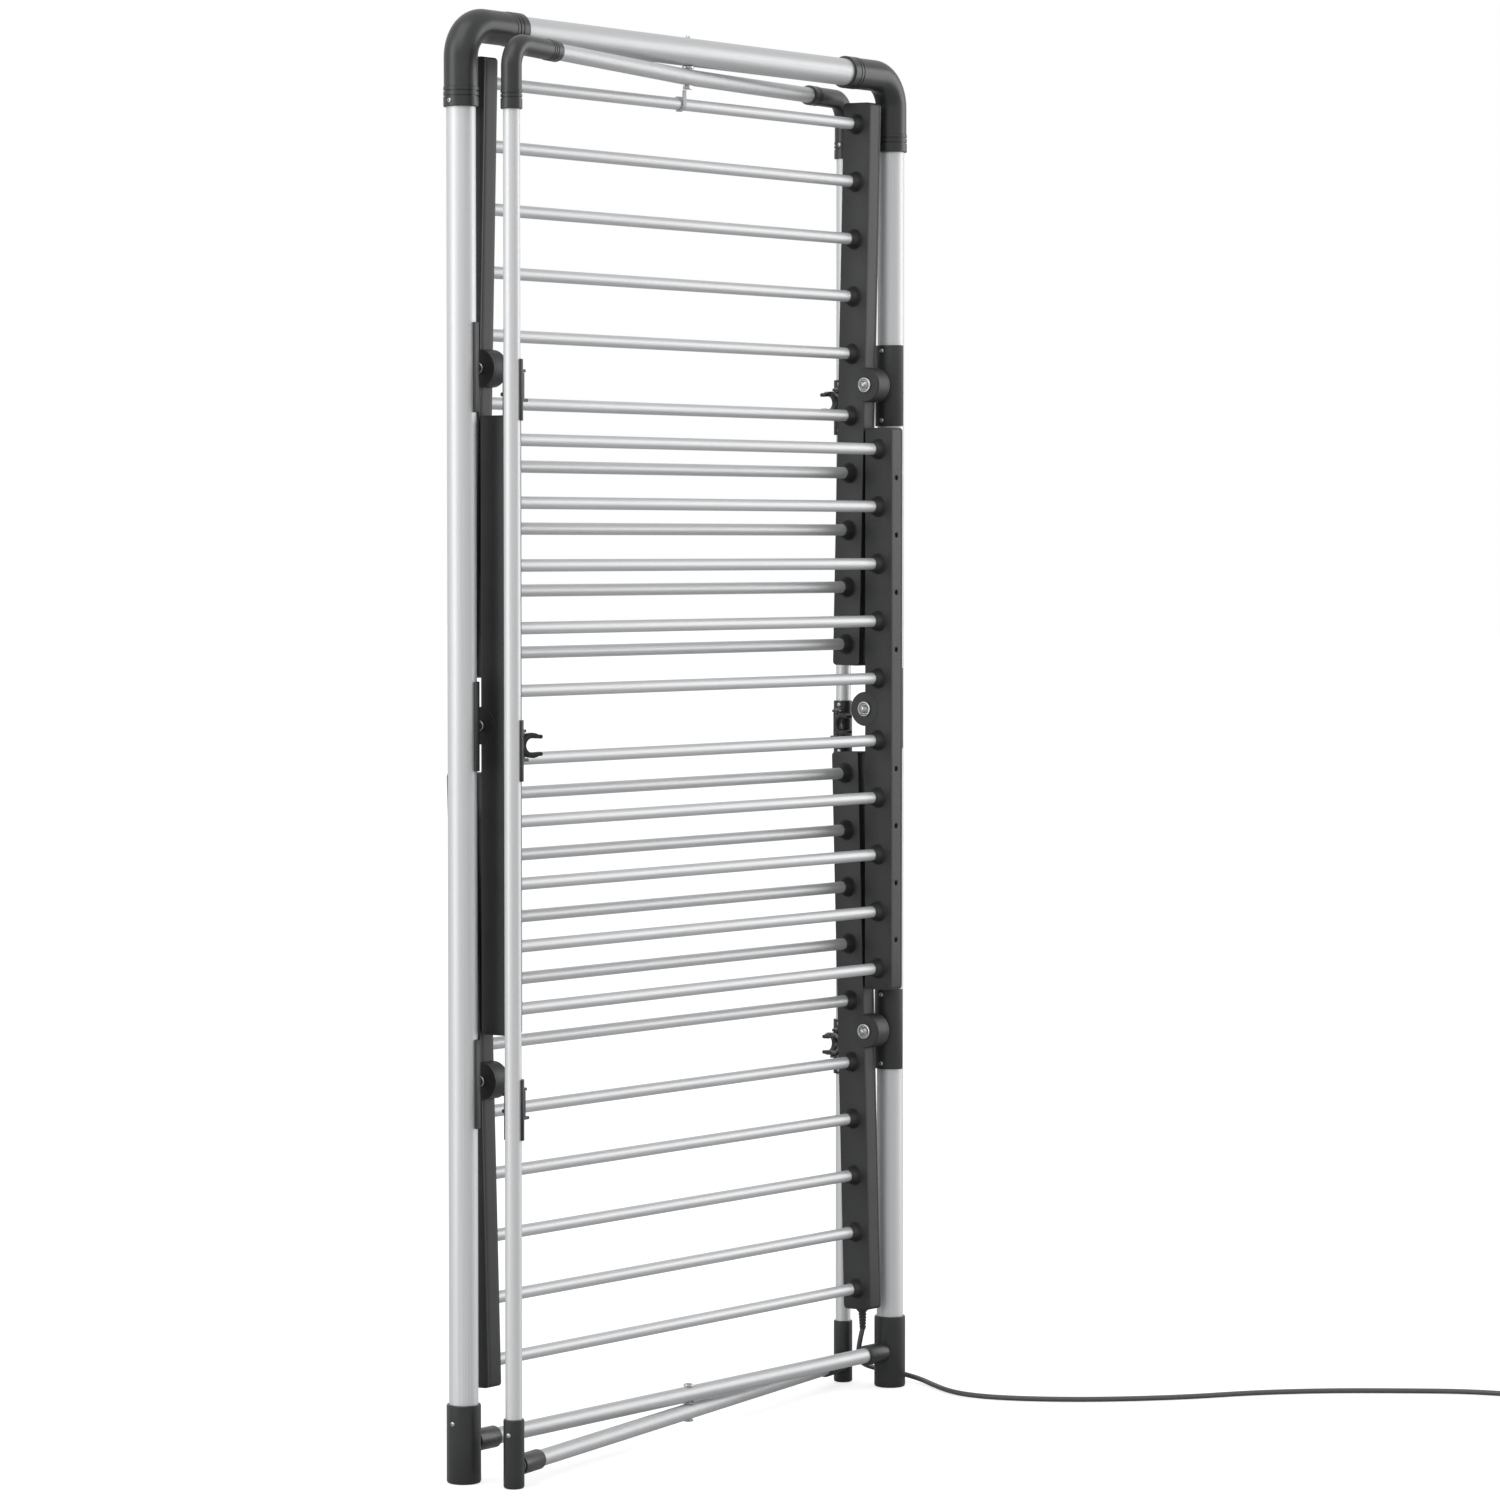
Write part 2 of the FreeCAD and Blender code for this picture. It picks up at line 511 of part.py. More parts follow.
def shelf_rail(plane):
    """Right-hand rail shell and cover of a shelf whose pivot is at the origin. plane is the
    rungs' Y; the rail carries a boss for each rung and a round lug on the pivot."""
    y_low = plane - rail_depth / 2
    low = Vec(rail_inner_x, y_low, -rail_half_length)
    high = Vec(shell_outer_x, y_low + rail_depth, rail_half_length)
    block = rounded_block(low, high, rail_corner, "X")
    lug = rod(Vec(rail_inner_x, 0, 0), X, shell_outer_x - rail_inner_x, lug_radius)
    shell = block.fuse(lug)
    cavity = Part.makeBox(rail_width, rail_depth - 2 * rail_wall,
                          2 * (rail_half_length - rail_wall),
                          Vec(rail_inner_x + rail_wall, y_low + rail_wall,
                              rail_wall - rail_half_length))
    cavity = cavity.cut(rod(Vec(rail_inner_x, 0, 0), X, rail_width, pivot_pin_radius + hub_wall))
    shell = shell.cut(cavity)
    far_side = 1 if plane > 0 else -1
    screw_x = (rail_inner_x + shell_outer_x) / 2
    for step in range(rail_screws_per_half):
        for end in (-1, 1):
            seat = Vec(screw_x, plane + far_side * rail_depth / 2,
                       end * (rail_screw_start + step * rail_screw_pitch))
            shell = shell.cut(rod(seat, Y * -far_side, rail_screw_depth, rail_screw_radius))
    for offset in rung_offsets:
        tip = Vec(rail_inner_x - boss_length, plane, offset)
        shell = shell.fuse(Part.makeCone(boss_tip_radius, boss_base_radius, boss_length, tip, X))
    shell = shell.removeSplitter()
    for offset in rung_offsets:
        start = Vec(rail_inner_x - boss_length - 1, plane, offset)
        shell = shell.cut(rod(start, X, boss_length + rail_wall + 2, rung_radius + socket_gap))
    cover_low = Vec(shell_outer_x, y_low, -rail_half_length)
    cover_high = Vec(rail_outer_x, y_low + rail_depth, rail_half_length)
    cover = rounded_block(cover_low, cover_high, rail_corner, "X")
    cover = cover.fuse(rod(Vec(shell_outer_x, 0, 0), X, cover_thickness, lug_radius))
    turning = rod(Vec(rail_inner_x - 5, 0, 0), X, rail_width + 10, pivot_pin_radius + running_gap)
    return shell.cut(turning), cover.removeSplitter().cut(turning)


def heating_wires(plane):
    """A heating rod down every rung, joined by a supply wire in each rail. Sealed inside."""
    bus_x = rail_inner_x + rail_wall + bus_gap + bus_radius
    wire = None
    for side in SIDES.values():
        bus = rod(Vec(side * bus_x, plane, -rung_reach), Z, 2 * rung_reach, bus_radius)
        wire = bus if wire is None else wire.fuse(bus)
    for offset in rung_offsets:
        wire = wire.fuse(rod(Vec(-bus_x, plane, offset), X, 2 * bus_x, heater_radius))
    return wire


def hung(shape, level):
    """Lifts a shelf's part from the origin to its pivot, and leans it as it hangs folded."""
    pivot = Z * shelf_z[level]
    return turned(shape.translated(pivot), pivot, X, shelf_lean[level])


rung_end_x = rail_inner_x + rail_wall
for level in shelf_z:
    plane = -rung_plane if level == "middle" else rung_plane
    rail, cover = shelf_rail(plane)
    rungs = [pipe(Vec(-rung_end_x, plane, offset), X, 2 * rung_end_x, rung_radius, rung_wall)
             for offset in sorted(rung_offsets)]
    for name, side in SIDES.items():
        nodes["rail_" + level + "_" + name] = hung(mirrored(rail, side), level)
    nodes["rail_covers_" + level] = hung(Part.makeCompound([cover, mirrored(cover, -1)]), level)
    nodes["rungs_" + level] = hung(Part.makeCompound(rungs), level)
    nodes["heating_wires_" + level] = hung(heating_wires(plane), level)

# storage hook: grips the top rung and stands up under the top pivot's nut
hook_rung = hung(Part.Vertex(Vec(0, rung_plane, rung_reach)), "upper").Point
grip = ring(hook_rung - X * (hook_width / 2), X, hook_width, rung_radius + hook_wall,
            rung_radius + hook_gap)
grip = grip.cut(Part.makeBox(2 * hook_width, 2 * rung_radius, 2 * rung_radius,
                             hook_rung + Vec(-hook_width, hook_mouth,
                                             -2 * rung_radius - hook_mouth)))
tongue = Part.makeBox(hook_width, hook_tongue, top_nut_z - hook_head_gap - hook_rung.z,
                      hook_rung + Vec(-hook_width / 2, -rung_radius - hook_wall, 0))
tongue = tongue.cut(rod(hook_rung - X * hook_width, X, 2 * hook_width, rung_radius + hook_gap))
nodes["storage_hook"] = grip.fuse(tongue).removeSplitter()

# ---------------------------------------------------------------- mains cord
# The gland is on the lower shelf's right rail and turns with it; the cord starts under it.
rail_end = Vec((rail_inner_x + shell_outer_x) / 2 + 1.0, rung_plane, -rail_half_length)
gland_collar = rod(rail_end - Z * 2.5, Z, 2.5, gland_top_radius + 1.5)
gland = Part.makeCone(gland_tip_radius, gland_top_radius, gland_length,
                      rail_end - Z * gland_length, Z).fuse(gland_collar)
gland_exit = hung(Part.Vertex(rail_end - Z * gland_length), "lower").Point
nodes["cord_gland"] = hung(gland.removeSplitter(), "lower")


def beside(x, y, z=cord_z):
    """A point x to the right of the right outer post's axis."""
    return Vec(outer_half_width + x, y, z)


cord_points = [
    gland_exit - Z * cord_gap,
    beside(-33.5, 18, 42),
    beside(-13, 30, 24),
    beside(11, 29, 15),
    beside(33, 14, 9),
    beside(37, -12, 4.5),
    beside(20, -42),
    beside(1, -71),
    beside(-10, -98),
    beside(-11, -124),
    beside(-5, -150),
    beside(11, -184),
    beside(34, -219),
    beside(66, -256),
    beside(117, -302),
    beside(181, -342),
    beside(237, -396),
    beside(283, -458),
    beside(325, -522),
    Vec(coil_x - coil_side - 0.8, -588, cord_z),
    Vec(coil_x - coil_side, coil_y, cord_z),
]
tail_points = [
    Vec(coil_x + coil_side, coil_y, cord_z + 2 * cord_radius),
    Vec(coil_x + coil_side + 1.8, coil_y + 43, 5),
    Vec(coil_x + coil_side + 1.8, coil_y + 84, 12),
]


def rounded_run(points, radius):
    """Tube along straight runs joined by tangent arcs; prints the tightest arc."""
    edges = []
    last = points[0]
    tightest = None
    for before, corner, after in zip(points, points[1:], points[2:]):
        into = corner - before
        out = after - corner
        half_turn = into.getAngle(out) / 2
        shorter = min(into.Length, out.Length)
        into.normalize()
        out.normalize()
        tangent = 0.45 * shorter
        bend = tangent / math.tan(half_turn)
        tightest = bend if tightest is None else min(tightest, bend)
        start, end = corner - into * tangent, corner + out * tangent
        middle_way = (out - into)
        middle_way.normalize()
        centre = corner + middle_way * (bend / math.cos(half_turn))
        middle = centre - middle_way * bend
        edges.append(Part.makeLine(last, start))
        edges.append(Part.Arc(start, middle, end).toShape())
        last = end
    edges.append(Part.makeLine(last, points[-1]))
    path = Part.Wire(edges)
    profile = Part.Wire([Part.makeCircle(radius, points[0], points[1] - points[0])])
    print("cord run", round(path.Length), "mm, tightest bend", round(tightest, 1), "mm")
    return path.makePipeShell([profile], True, False)


cord = rounded_run(cord_points, cord_radius)
tail = rounded_run(tail_points, cord_radius)
nodes["mains_cord"] = Part.makeCompound([cord, tail])
nodes["cord_coil"] = ring(Vec(coil_x, coil_y, cord_z - cord_radius), Z, 4 * cord_radius,
                          coil_turns_radius + 2 * cord_radius, coil_turns_radius - 2 * cord_radius)

# mains plug: body with three flat pins, on the floor behind the coil
plug_entry = tail_points[-1]
plug_low = Vec(plug_entry.x - plug_body[0] / 2, plug_entry.y, plug_lift)
plug = rounded_block(plug_low, plug_low + Vec(*plug_body), plug_corner, "Z")
pin_face = plug_low.y + plug_body[1]
for x_pin, z_pin, wide, tall in ((0, 17.5, 4.0, 8.0), (-11, 6.5, 6.4, 4.0), (11, 6.5, 6.4, 4.0)):
    plug = plug.fuse(Part.makeBox(wide, plug_pin_length, tall,
                                  Vec(plug_entry.x + x_pin - wide / 2, pin_face, z_pin - tall / 2)))
nodes["mains_plug"] = plug.removeSplitter()

# ---------------------------------------------------------------- files
for name, shape in nodes.items():
    shape.exportStep("parts/" + name + ".step")
print(len(nodes), "nodes written")
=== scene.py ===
"""Folding heated clothes airer: the looks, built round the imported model.

The sections follow the airer as it is put together. Meshes are drawn in millimetres, with X along
the rungs, Y to the back and Z up from the floor, and each is turned to metres as it is finished.
"""
import math

import bmesh
import bpy
from mathutils import Matrix, Vector


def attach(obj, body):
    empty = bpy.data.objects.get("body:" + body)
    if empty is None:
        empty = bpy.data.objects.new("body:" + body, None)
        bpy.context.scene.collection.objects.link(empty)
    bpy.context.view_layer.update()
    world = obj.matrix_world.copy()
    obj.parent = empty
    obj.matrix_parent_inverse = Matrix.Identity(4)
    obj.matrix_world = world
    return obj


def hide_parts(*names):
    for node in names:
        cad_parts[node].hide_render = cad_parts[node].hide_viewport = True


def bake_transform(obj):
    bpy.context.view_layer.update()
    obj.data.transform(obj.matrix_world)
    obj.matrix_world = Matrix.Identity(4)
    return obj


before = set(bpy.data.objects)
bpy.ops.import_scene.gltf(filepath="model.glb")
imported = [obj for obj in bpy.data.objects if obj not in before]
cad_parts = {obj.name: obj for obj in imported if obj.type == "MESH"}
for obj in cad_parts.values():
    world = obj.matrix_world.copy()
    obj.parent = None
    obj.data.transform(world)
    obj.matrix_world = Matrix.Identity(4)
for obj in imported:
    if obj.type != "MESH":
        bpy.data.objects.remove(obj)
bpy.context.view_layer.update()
X, Y, Z = Vector((1, 0, 0)), Vector((0, 1, 0)), Vector((0, 0, 1))
scene = bpy.context.scene

# ------------------------------------------------------------------ camera
# A long lens a little above the middle of the airer, five metres off its left front corner.
# It looks down by two degrees, so that the uprights keep nearly parallel.
eye = bpy.data.cameras.new("eye")
eye.sensor_width = 36.0
eye.lens = 122.534
eye.clip_end = 100.0
camera = bpy.data.objects.new("camera", eye)
camera.location = (-4.05796, -3.12735, 0.89284)
camera.rotation_euler = (math.radians(90 - 2.28457), 0, math.radians(-53.0749))
scene.collection.objects.link(camera)
scene.camera = camera


# ------------------------------------------------------------------ outer frame tubes
# Two posts, a top bar and a thinner bottom bar of drawn steel tube. They are powder coated in
# silver grey: a satin skin with fine flakes in it and faint draw lines along each tube. The level
# bars get a copy of the same coat painted a shade darker than the posts': painted shade.
def linear(text):
    """A colour written as sRGB hex, as the linear values that a shader takes."""
    parts = [int(text[i:i + 2], 16) / 255 for i in (1, 3, 5)]
    return [p / 12.92 if p <= 0.04045 else ((p + 0.055) / 1.055) ** 2.4 for p in parts] + [1.0]


def add_node(tree, kind, settings=None, values=None, links=None):
    """Adds a node, with its settings, its input values and what is linked to its inputs."""
    made = tree.nodes.new(kind)
    for key, value in (settings or {}).items():
        setattr(made, key, value)
    for key, value in (values or {}).items():
        made.inputs[key].default_value = value
    for key, source in (links or {}).items():
        tree.links.new(source, made.inputs[key])
    return made


def blank_material(name):
    made = bpy.data.materials.new(name)
    made.use_nodes = True
    made.node_tree.nodes.clear()
    return made, made.node_tree


def set_stops(ramp, *stops):
    """Gives a colour ramp its (position, hex colour) stops."""
    line = ramp.color_ramp.elements
    while len(line) < len(stops):
        line.new(0.5)
    for stop, (position, text) in zip(line, stops):
        stop.position = position
        stop.color = linear(text)


def silver_powder_coat(name, along, tones, flake=1.4, drawn=(0.9, 240.0)):
    """Polyester powder coat with aluminium flake on drawn steel tube. The flakes are under a
    tenth of a millimetre and are drawn coarser so that they show; draw lines run along the tube."""
    made, tree = blank_material(name)
    place = add_node(tree, "ShaderNodeTexCoord")
    per = [1000 / drawn[0]] * 3
    per["XYZ".index(along)] = 1000 / drawn[1]
    stretch = add_node(tree, "ShaderNodeMapping", values={"Scale": per},
                       links={"Vector": place.outputs["Object"]})
    lines = add_node(tree, "ShaderNodeTexNoise", values={"Scale": 1.0, "Detail": 3.0},
                     links={"Vector": stretch.outputs[0]})
    tone = add_node(tree, "ShaderNodeValToRGB", links={"Fac": lines.outputs[0]})
    set_stops(tone, (0.3, tones[0]), (0.7, tones[1]))
    flakes = add_node(tree, "ShaderNodeTexVoronoi", values={"Scale": 1000 / flake},
                      links={"Vector": place.outputs["Object"]})
    dull = add_node(tree, "ShaderNodeMapRange", values={"To Min": 0.42, "To Max": 0.56},
                    links={"Value": flakes.outputs["Distance"]})
    skin = add_node(tree, "ShaderNodeTexNoise", values={"Scale": 1000 / 2.2, "Detail": 2.0},
                    links={"Vector": place.outputs["Object"]})
    bump = add_node(tree, "ShaderNodeBump", values={"Strength": 0.10, "Distance": 0.0002},
                    links={"Height": skin.outputs[0]})
    shader = add_node(tree, "ShaderNodeBsdfPrincipled",
                      values={"Metallic": 0.5, "Coat Weight": 0.12, "Coat Roughness": 0.3},
                      links={"Base Color": tone.outputs[0], "Roughness": dull.outputs[0],
                             "Normal": bump.outputs[0]})
    add_node(tree, "ShaderNodeOutputMaterial", links={"Surface": shader.outputs[0]})
    return made


def lathe(bm, outline, base, direction, steps=48, skin=0):
    """Turns an outline of (radius, height) pairs once round the axis from base along direction."""
    before = set(bm.faces)
    points = [bm.verts.new((radius, 0, height)) for radius, height in outline]
    sides = [bm.edges.new(pair) for pair in zip(points, points[1:])]
    bmesh.ops.spin(bm, geom=points + sides, cent=(0, 0, 0), axis=Z, angle=math.tau, steps=steps,
                   use_merge=True)
    turned = {v for f in bm.faces if f not in before for v in f.verts}
    bmesh.ops.remove_doubles(bm, verts=list(turned), dist=1e-4)
    faces = [f for f in bm.faces if f not in before]
    for face in faces:
        face.material_index = skin
    turn = Vector(direction).to_track_quat("Z", "Y").to_matrix().to_4x4()
    bmesh.ops.transform(bm, matrix=Matrix.Translation(base) @ turn,
                        verts=list({v for f in faces for v in f.verts}))


def tube(bm, start, direction, length, radius, wall, steps=48, skin=0):
    bore = radius - wall
    lathe(bm, [(bore, 0), (radius, 0), (radius, length), (bore, length), (bore, 0)],
          start, direction, steps, skin)


def make_piece(bm, name, materials, body, nodes, place=None, crease=38):
    """Turns a drawing in millimetres into a named piece in metres that rides on body."""
    size = Matrix.Scale(0.001, 4)
    bmesh.ops.transform(bm, matrix=size @ place if place else size, verts=bm.verts)
    bmesh.ops.recalc_face_normals(bm, faces=bm.faces)
    mesh = bpy.data.meshes.new(name)
    bm.to_mesh(mesh)
    bm.free()
    for material in materials:
        mesh.materials.append(material)
    mesh.shade_smooth()
    mesh.set_sharp_from_angle(angle=math.radians(crease))
    piece = bpy.data.objects.new(name, mesh)
    scene.collection.objects.link(piece)
    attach(piece, body)
    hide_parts(*nodes)
    return piece


SIDES = ("left", "right")
MIRRORED = {"left": Matrix.Scale(-1, 4, X), "right": Matrix.Identity(4)}
HEIGHT = 1400.0
POST_X = 351.0
POST_RADIUS = 14.0
TOP_BAR_Z = HEIGHT - POST_RADIUS
LOW_BAR_Z = 38.0
LOW_BAR_RADIUS = 8.0
TUBE_WALL = 1.2
POST_LOW, POST_TOP = 12.5, TOP_BAR_Z - 38.0
TOP_BAR_HALF = POST_X - 40.0
LOW_BAR_HALF = POST_X - 15.3
coat_upright = silver_powder_coat("silver_coat_upright", "Z", ("#c6c7c8", "#d0d1d2"))
# The level bars' copy of the coat is painted darker as painted shade; the paint itself is the same.
coat_level_painted_shade = silver_powder_coat("silver_coat_level", "X", ("#b6b7b8", "#c0c1c2"))

for side in SIDES:
    bm = bmesh.new()
    tube(bm, X * POST_X + Z * POST_LOW, Z, POST_TOP - POST_LOW, POST_RADIUS, TUBE_WALL, 64)
    make_piece(bm, "thick_post_" + side, [coat_upright], "outer_frame",
               ["outer_post_" + side], MIRRORED[side])
bm = bmesh.new()
tube(bm, Z * TOP_BAR_Z - X * TOP_BAR_HALF, X, 2 * TOP_BAR_HALF, POST_RADIUS, TUBE_WALL, 64)
make_piece(bm, "thick_top_bar", [coat_level_painted_shade], "outer_frame", ["outer_top_bar"])
bm = bmesh.new()
tube(bm, Z * LOW_BAR_Z - X * LOW_BAR_HALF, X, 2 * LOW_BAR_HALF, LOW_BAR_RADIUS, TUBE_WALL)
make_piece(bm, "thick_frame_low_bar", [coat_level_painted_shade], "outer_frame",
           ["outer_bottom_bar"])


# ------------------------------------------------------------------ outer frame corners
# Bent sockets moulded in dark grey polypropylene, with a fine spark-eroded texture that takes the
# shine off. Raised bands with grooves between them are moulded round each mouth, and a soft lip
# meets the tube.
def moulded_plastic(name, dark, light, grain=1.1, bump_height=0.00012, dull=(0.44, 0.56)):
    """Injection-moulded polypropylene. The tool's texture is 0.2 mm grit, drawn coarser so that
    it shows; broad patches are the slight flow marks and handling that a big moulding has."""
    made, tree = blank_material(name)
    place = add_node(tree, "ShaderNodeTexCoord")
    flow = add_node(tree, "ShaderNodeTexNoise", values={"Scale": 1000 / 45, "Detail": 4.0},
                    links={"Vector": place.outputs["Object"]})
    tone = add_node(tree, "ShaderNodeValToRGB", links={"Fac": flow.outputs[0]})
    set_stops(tone, (0.35, dark), (0.65, light))
    grit = add_node(tree, "ShaderNodeTexNoise",
                    values={"Scale": 1000 / grain, "Detail": 3.0, "Roughness": 0.6},
                    links={"Vector": place.outputs["Object"]})
    rough = add_node(tree, "ShaderNodeMapRange", values={"To Min": dull[0], "To Max": dull[1]},
                     links={"Value": grit.outputs[0]})
    bump = add_node(tree, "ShaderNodeBump", values={"Strength": 0.35, "Distance": bump_height},
                    links={"Height": grit.outputs[0]})
    shader = add_node(tree, "ShaderNodeBsdfPrincipled", values={"IOR": 1.49},
                      links={"Base Color": tone.outputs[0], "Roughness": rough.outputs[0],
                             "Normal": bump.outputs[0]})
    add_node(tree, "ShaderNodeOutputMaterial", links={"Surface": shader.outputs[0]})
    return made


def grow_ring(bm, ring, shift, ratio, centre):
    """Extrudes a ring of edges by shift and scales it about where its centre then is."""
    made = bmesh.ops.extrude_edge_only(bm, edges=ring)["geom"]
    points = [g for g in made if isinstance(g, bmesh.types.BMVert)]
    bmesh.ops.translate(bm, verts=points, vec=shift)
    bmesh.ops.scale(bm, verts=points, vec=(ratio,) * 3,
                    space=Matrix.Translation(-(centre + shift)))
    return [g for g in made if isinstance(g, bmesh.types.BMEdge) and g.is_boundary]


def corner_socket(bm, corner, fall, drop, reach, radius, bore, bend, bands, steps=48):
    """A bent socket: in at one mouth, past its bands, round the bend and out at the other."""
    leg = Vector((-math.cos(fall), 0, -math.sin(fall)))
    turn = math.radians(90) + fall
    tangent = bend * math.tan(turn / 2)
    first, last = bands
    proud, sunk = radius + BAND_RISE, radius - BAND_RISE
    end = first + GROOVE + last
    mouth = [(21.0, bore), (0.6, bore), (0.0, bore + 0.5), (0.0, proud - 0.6), (0.6, proud)]
    for groove in (first + GROOVE / 2, (first + GROOVE + end) / 2):
        mouth += [(groove - 0.7, proud), (groove - 0.5, sunk), (groove + 0.5, sunk),
                  (groove + 0.7, proud)]
    mouth += [(end - 0.3, proud), (end, radius)]
    at, size = mouth[0]
    centre = corner - Z * (drop - at)
    made = bmesh.ops.create_circle(bm, radius=size, segments=steps,
                                   matrix=Matrix.Translation(centre))["verts"]
    ring = opening = list({e for v in made for e in v.link_edges})
    for distance, wide in mouth[1:] + [(drop - tangent, radius)]:
        shift = Z * (distance - at)
        ring = grow_ring(bm, ring, shift, wide / size, centre)
        centre, at, size = centre + shift, distance, wide
    bent = bmesh.ops.spin(bm, geom=ring, cent=corner - Z * tangent - X * bend, axis=-Y,
                          angle=turn, steps=18)["geom_last"]
    ring = [g for g in bent if isinstance(g, bmesh.types.BMEdge)]
    centre = corner + leg * tangent
    at = reach / math.cos(fall) - tangent
    for distance, wide in reversed(mouth):
        shift = leg * (at - distance)
        ring = grow_ring(bm, ring, shift, wide / size, centre)
        centre, at, size = centre + shift, distance, wide
    for loop in (opening, ring):
        bmesh.ops.edgeloop_fill(bm, edges=loop)


corner_grey = moulded_plastic("polypropylene_corner", "#262728", "#2c2d2e", dull=(0.3, 0.4))
BAND_RISE, GROOVE = 0.5, 1.2
SOCKET_GAP = 0.05
CORNER_DROP, CORNER_REACH, CORNER_RADIUS = 78.5, 85.0, 16.2
CORNER_BEND, CORNER_BANDS = 32.0, (9.4, 8.3)
for side in SIDES:
    bm = bmesh.new()
    corner_socket(bm, X * POST_X + Z * TOP_BAR_Z, 0.0, CORNER_DROP, CORNER_REACH, CORNER_RADIUS,
                  POST_RADIUS + SOCKET_GAP, CORNER_BEND, CORNER_BANDS, 64)
    make_piece(bm, "thick_corner_" + side, [corner_grey], "outer_frame",
               ["outer_elbow_" + side], MIRRORED[side])


# ------------------------------------------------------------------ outer frame feet
# A foot is an upright socket with a short side socket for the bottom bar, in the same moulding as
# the corners. Its bottom edge is rounded and its mouth has a soft lip round the post.
def foot_socket(bm, x, bar_z, radius, tall, sole, post_bore, stub_radius, bar_bore, stub_length):
    lathe(bm, [(0, 0), (radius - 2.2, 0), (radius - 0.7, 0.6), (radius, 2.2),
               (radius, tall - 0.8), (radius - 0.7, tall), (post_bore + 0.4, tall),
               (post_bore, tall - 0.4), (post_bore, sole), (0, sole)], X * x, Z, 64)
    deep = stub_length - radius - 1.0
    inside = post_bore + 1.2
    lathe(bm, [(bar_bore, inside), (stub_radius, inside), (stub_radius, stub_length - 1.6),
               (stub_radius - 0.7, stub_length - 0.3), (stub_radius - 1.4, stub_length),
               (bar_bore, stub_length), (bar_bore, stub_length - deep + 1), (bar_bore, inside)],
          X * x + Z * bar_z, -X, 48)


FOOT_RADIUS, FOOT_TALL, FOOT_SOLE = 16.5, 75.5, 12.0
STUB_RADIUS, STUB_LENGTH = 10.6, 46.0
for side in SIDES:
    bm = bmesh.new()
    foot_socket(bm, POST_X, LOW_BAR_Z, FOOT_RADIUS, FOOT_TALL, FOOT_SOLE, POST_RADIUS + SOCKET_GAP,
                STUB_RADIUS, LOW_BAR_RADIUS + SOCKET_GAP, STUB_LENGTH)
    make_piece(bm, "thick_foot_" + side, [corner_grey], "outer_frame",
               ["outer_foot_" + side], MIRRORED[side])


# ------------------------------------------------------------------ pivot brackets
# Half shells moulded to the inward side of each post, screwed on at top and bottom. A round pad
# stands off each at the shelf's pivot. Their polypropylene is a little duller than the corners'.
def soften(bm, width, segments=2, least=50):
    """Rounds every edge of the drawing that is sharper than least degrees."""
    sharp = [e for e in bm.edges if e.is_manifold and e.calc_face_angle() > math.radians(least)]
    bmesh.ops.bevel(bm, geom=sharp, offset=width, offset_type="OFFSET", segments=segments,
                    profile=0.5, affect="EDGES", material=-1)


def half_shell(bm, axis_x, low, tall, bore, outer):
    """Half of a tube, on the side of the post that faces the centre."""
    ends = [bm.verts.new((axis_x, bore, low)), bm.verts.new((axis_x, outer, low))]
    side_edge = bm.edges.new(ends)
    before = set(bm.faces)
    bmesh.ops.spin(bm, geom=ends + [side_edge], cent=(axis_x, 0, low), axis=Z, angle=math.pi,
                   steps=28)
    flat = [f for f in bm.faces if f not in before]
    grown = bmesh.ops.extrude_face_region(bm, geom=flat)["geom"]
    bmesh.ops.translate(bm, vec=Z * tall,
                        verts=[g for g in grown if isinstance(g, bmesh.types.BMVert)])


LEVELS = ("upper", "middle", "lower")
PIVOT_Z = {"upper": 1062.0, "middle": 722.0, "lower": 382.0}
BRACKET_TALL = 85.0
BRACKET_WALL = 2.5
BRACKET_PAD = 1.0
BRACKET_FACE_X = POST_X - POST_RADIUS - BRACKET_WALL - BRACKET_PAD
bracket_grey = moulded_plastic("polypropylene_bracket", "#282929", "#2e2f2f")
for level in LEVELS:
    for side in SIDES:
        bm = bmesh.new()
        half_shell(bm, POST_X, PIVOT_Z[level] - BRACKET_TALL / 2, BRACKET_TALL,
                   POST_RADIUS + SOCKET_GAP, POST_RADIUS + BRACKET_WALL)
        soften(bm, 0.5)
        lathe(bm, [(4.1, 0), (7.4, 0), (8, 0.6), (8, 3.2), (4.1, 3.2), (4.1, 0)],
              X * BRACKET_FACE_X + Z * PIVOT_Z[level], X)
        make_piece(bm, f"pivot_shell_{level}_{side}", [bracket_grey],
                   "outer_frame", [f"pivot_bracket_{level}_{side}"], MIRRORED[side])


# ------------------------------------------------------------------ screws of the outer frame
# Self-tapping pan-head screws, zinc plated: one in each corner and foot and two in each bracket.
# The plating is bright with a faint frost, and the driver's recess reads as a dark dot.
def plated_steel(name, tones=("#a9aaab", "#bdbebf"), dull=(0.22, 0.38)):
    """Bright zinc plate on steel, with a crystal frost about 1.5 mm across."""
    made, tree = blank_material(name)
    place = add_node(tree, "ShaderNodeTexCoord")
    frost = add_node(tree, "ShaderNodeTexNoise", values={"Scale": 1000 / 1.5, "Detail": 4.0},
                     links={"Vector": place.outputs["Object"]})
    tone = add_node(tree, "ShaderNodeValToRGB", links={"Fac": frost.outputs[0]})
    set_stops(tone, (0.35, tones[0]), (0.65, tones[1]))
    rough = add_node(tree, "ShaderNodeMapRange", values={"To Min": dull[0], "To Max": dull[1]},
                     links={"Value": frost.outputs[0]})
    shader = add_node(tree, "ShaderNodeBsdfPrincipled", values={"Metallic": 1.0},
                      links={"Base Color": tone.outputs[0], "Roughness": rough.outputs[0]})
    add_node(tree, "ShaderNodeOutputMaterial", links={"Surface": shader.outputs[0]})
    return made


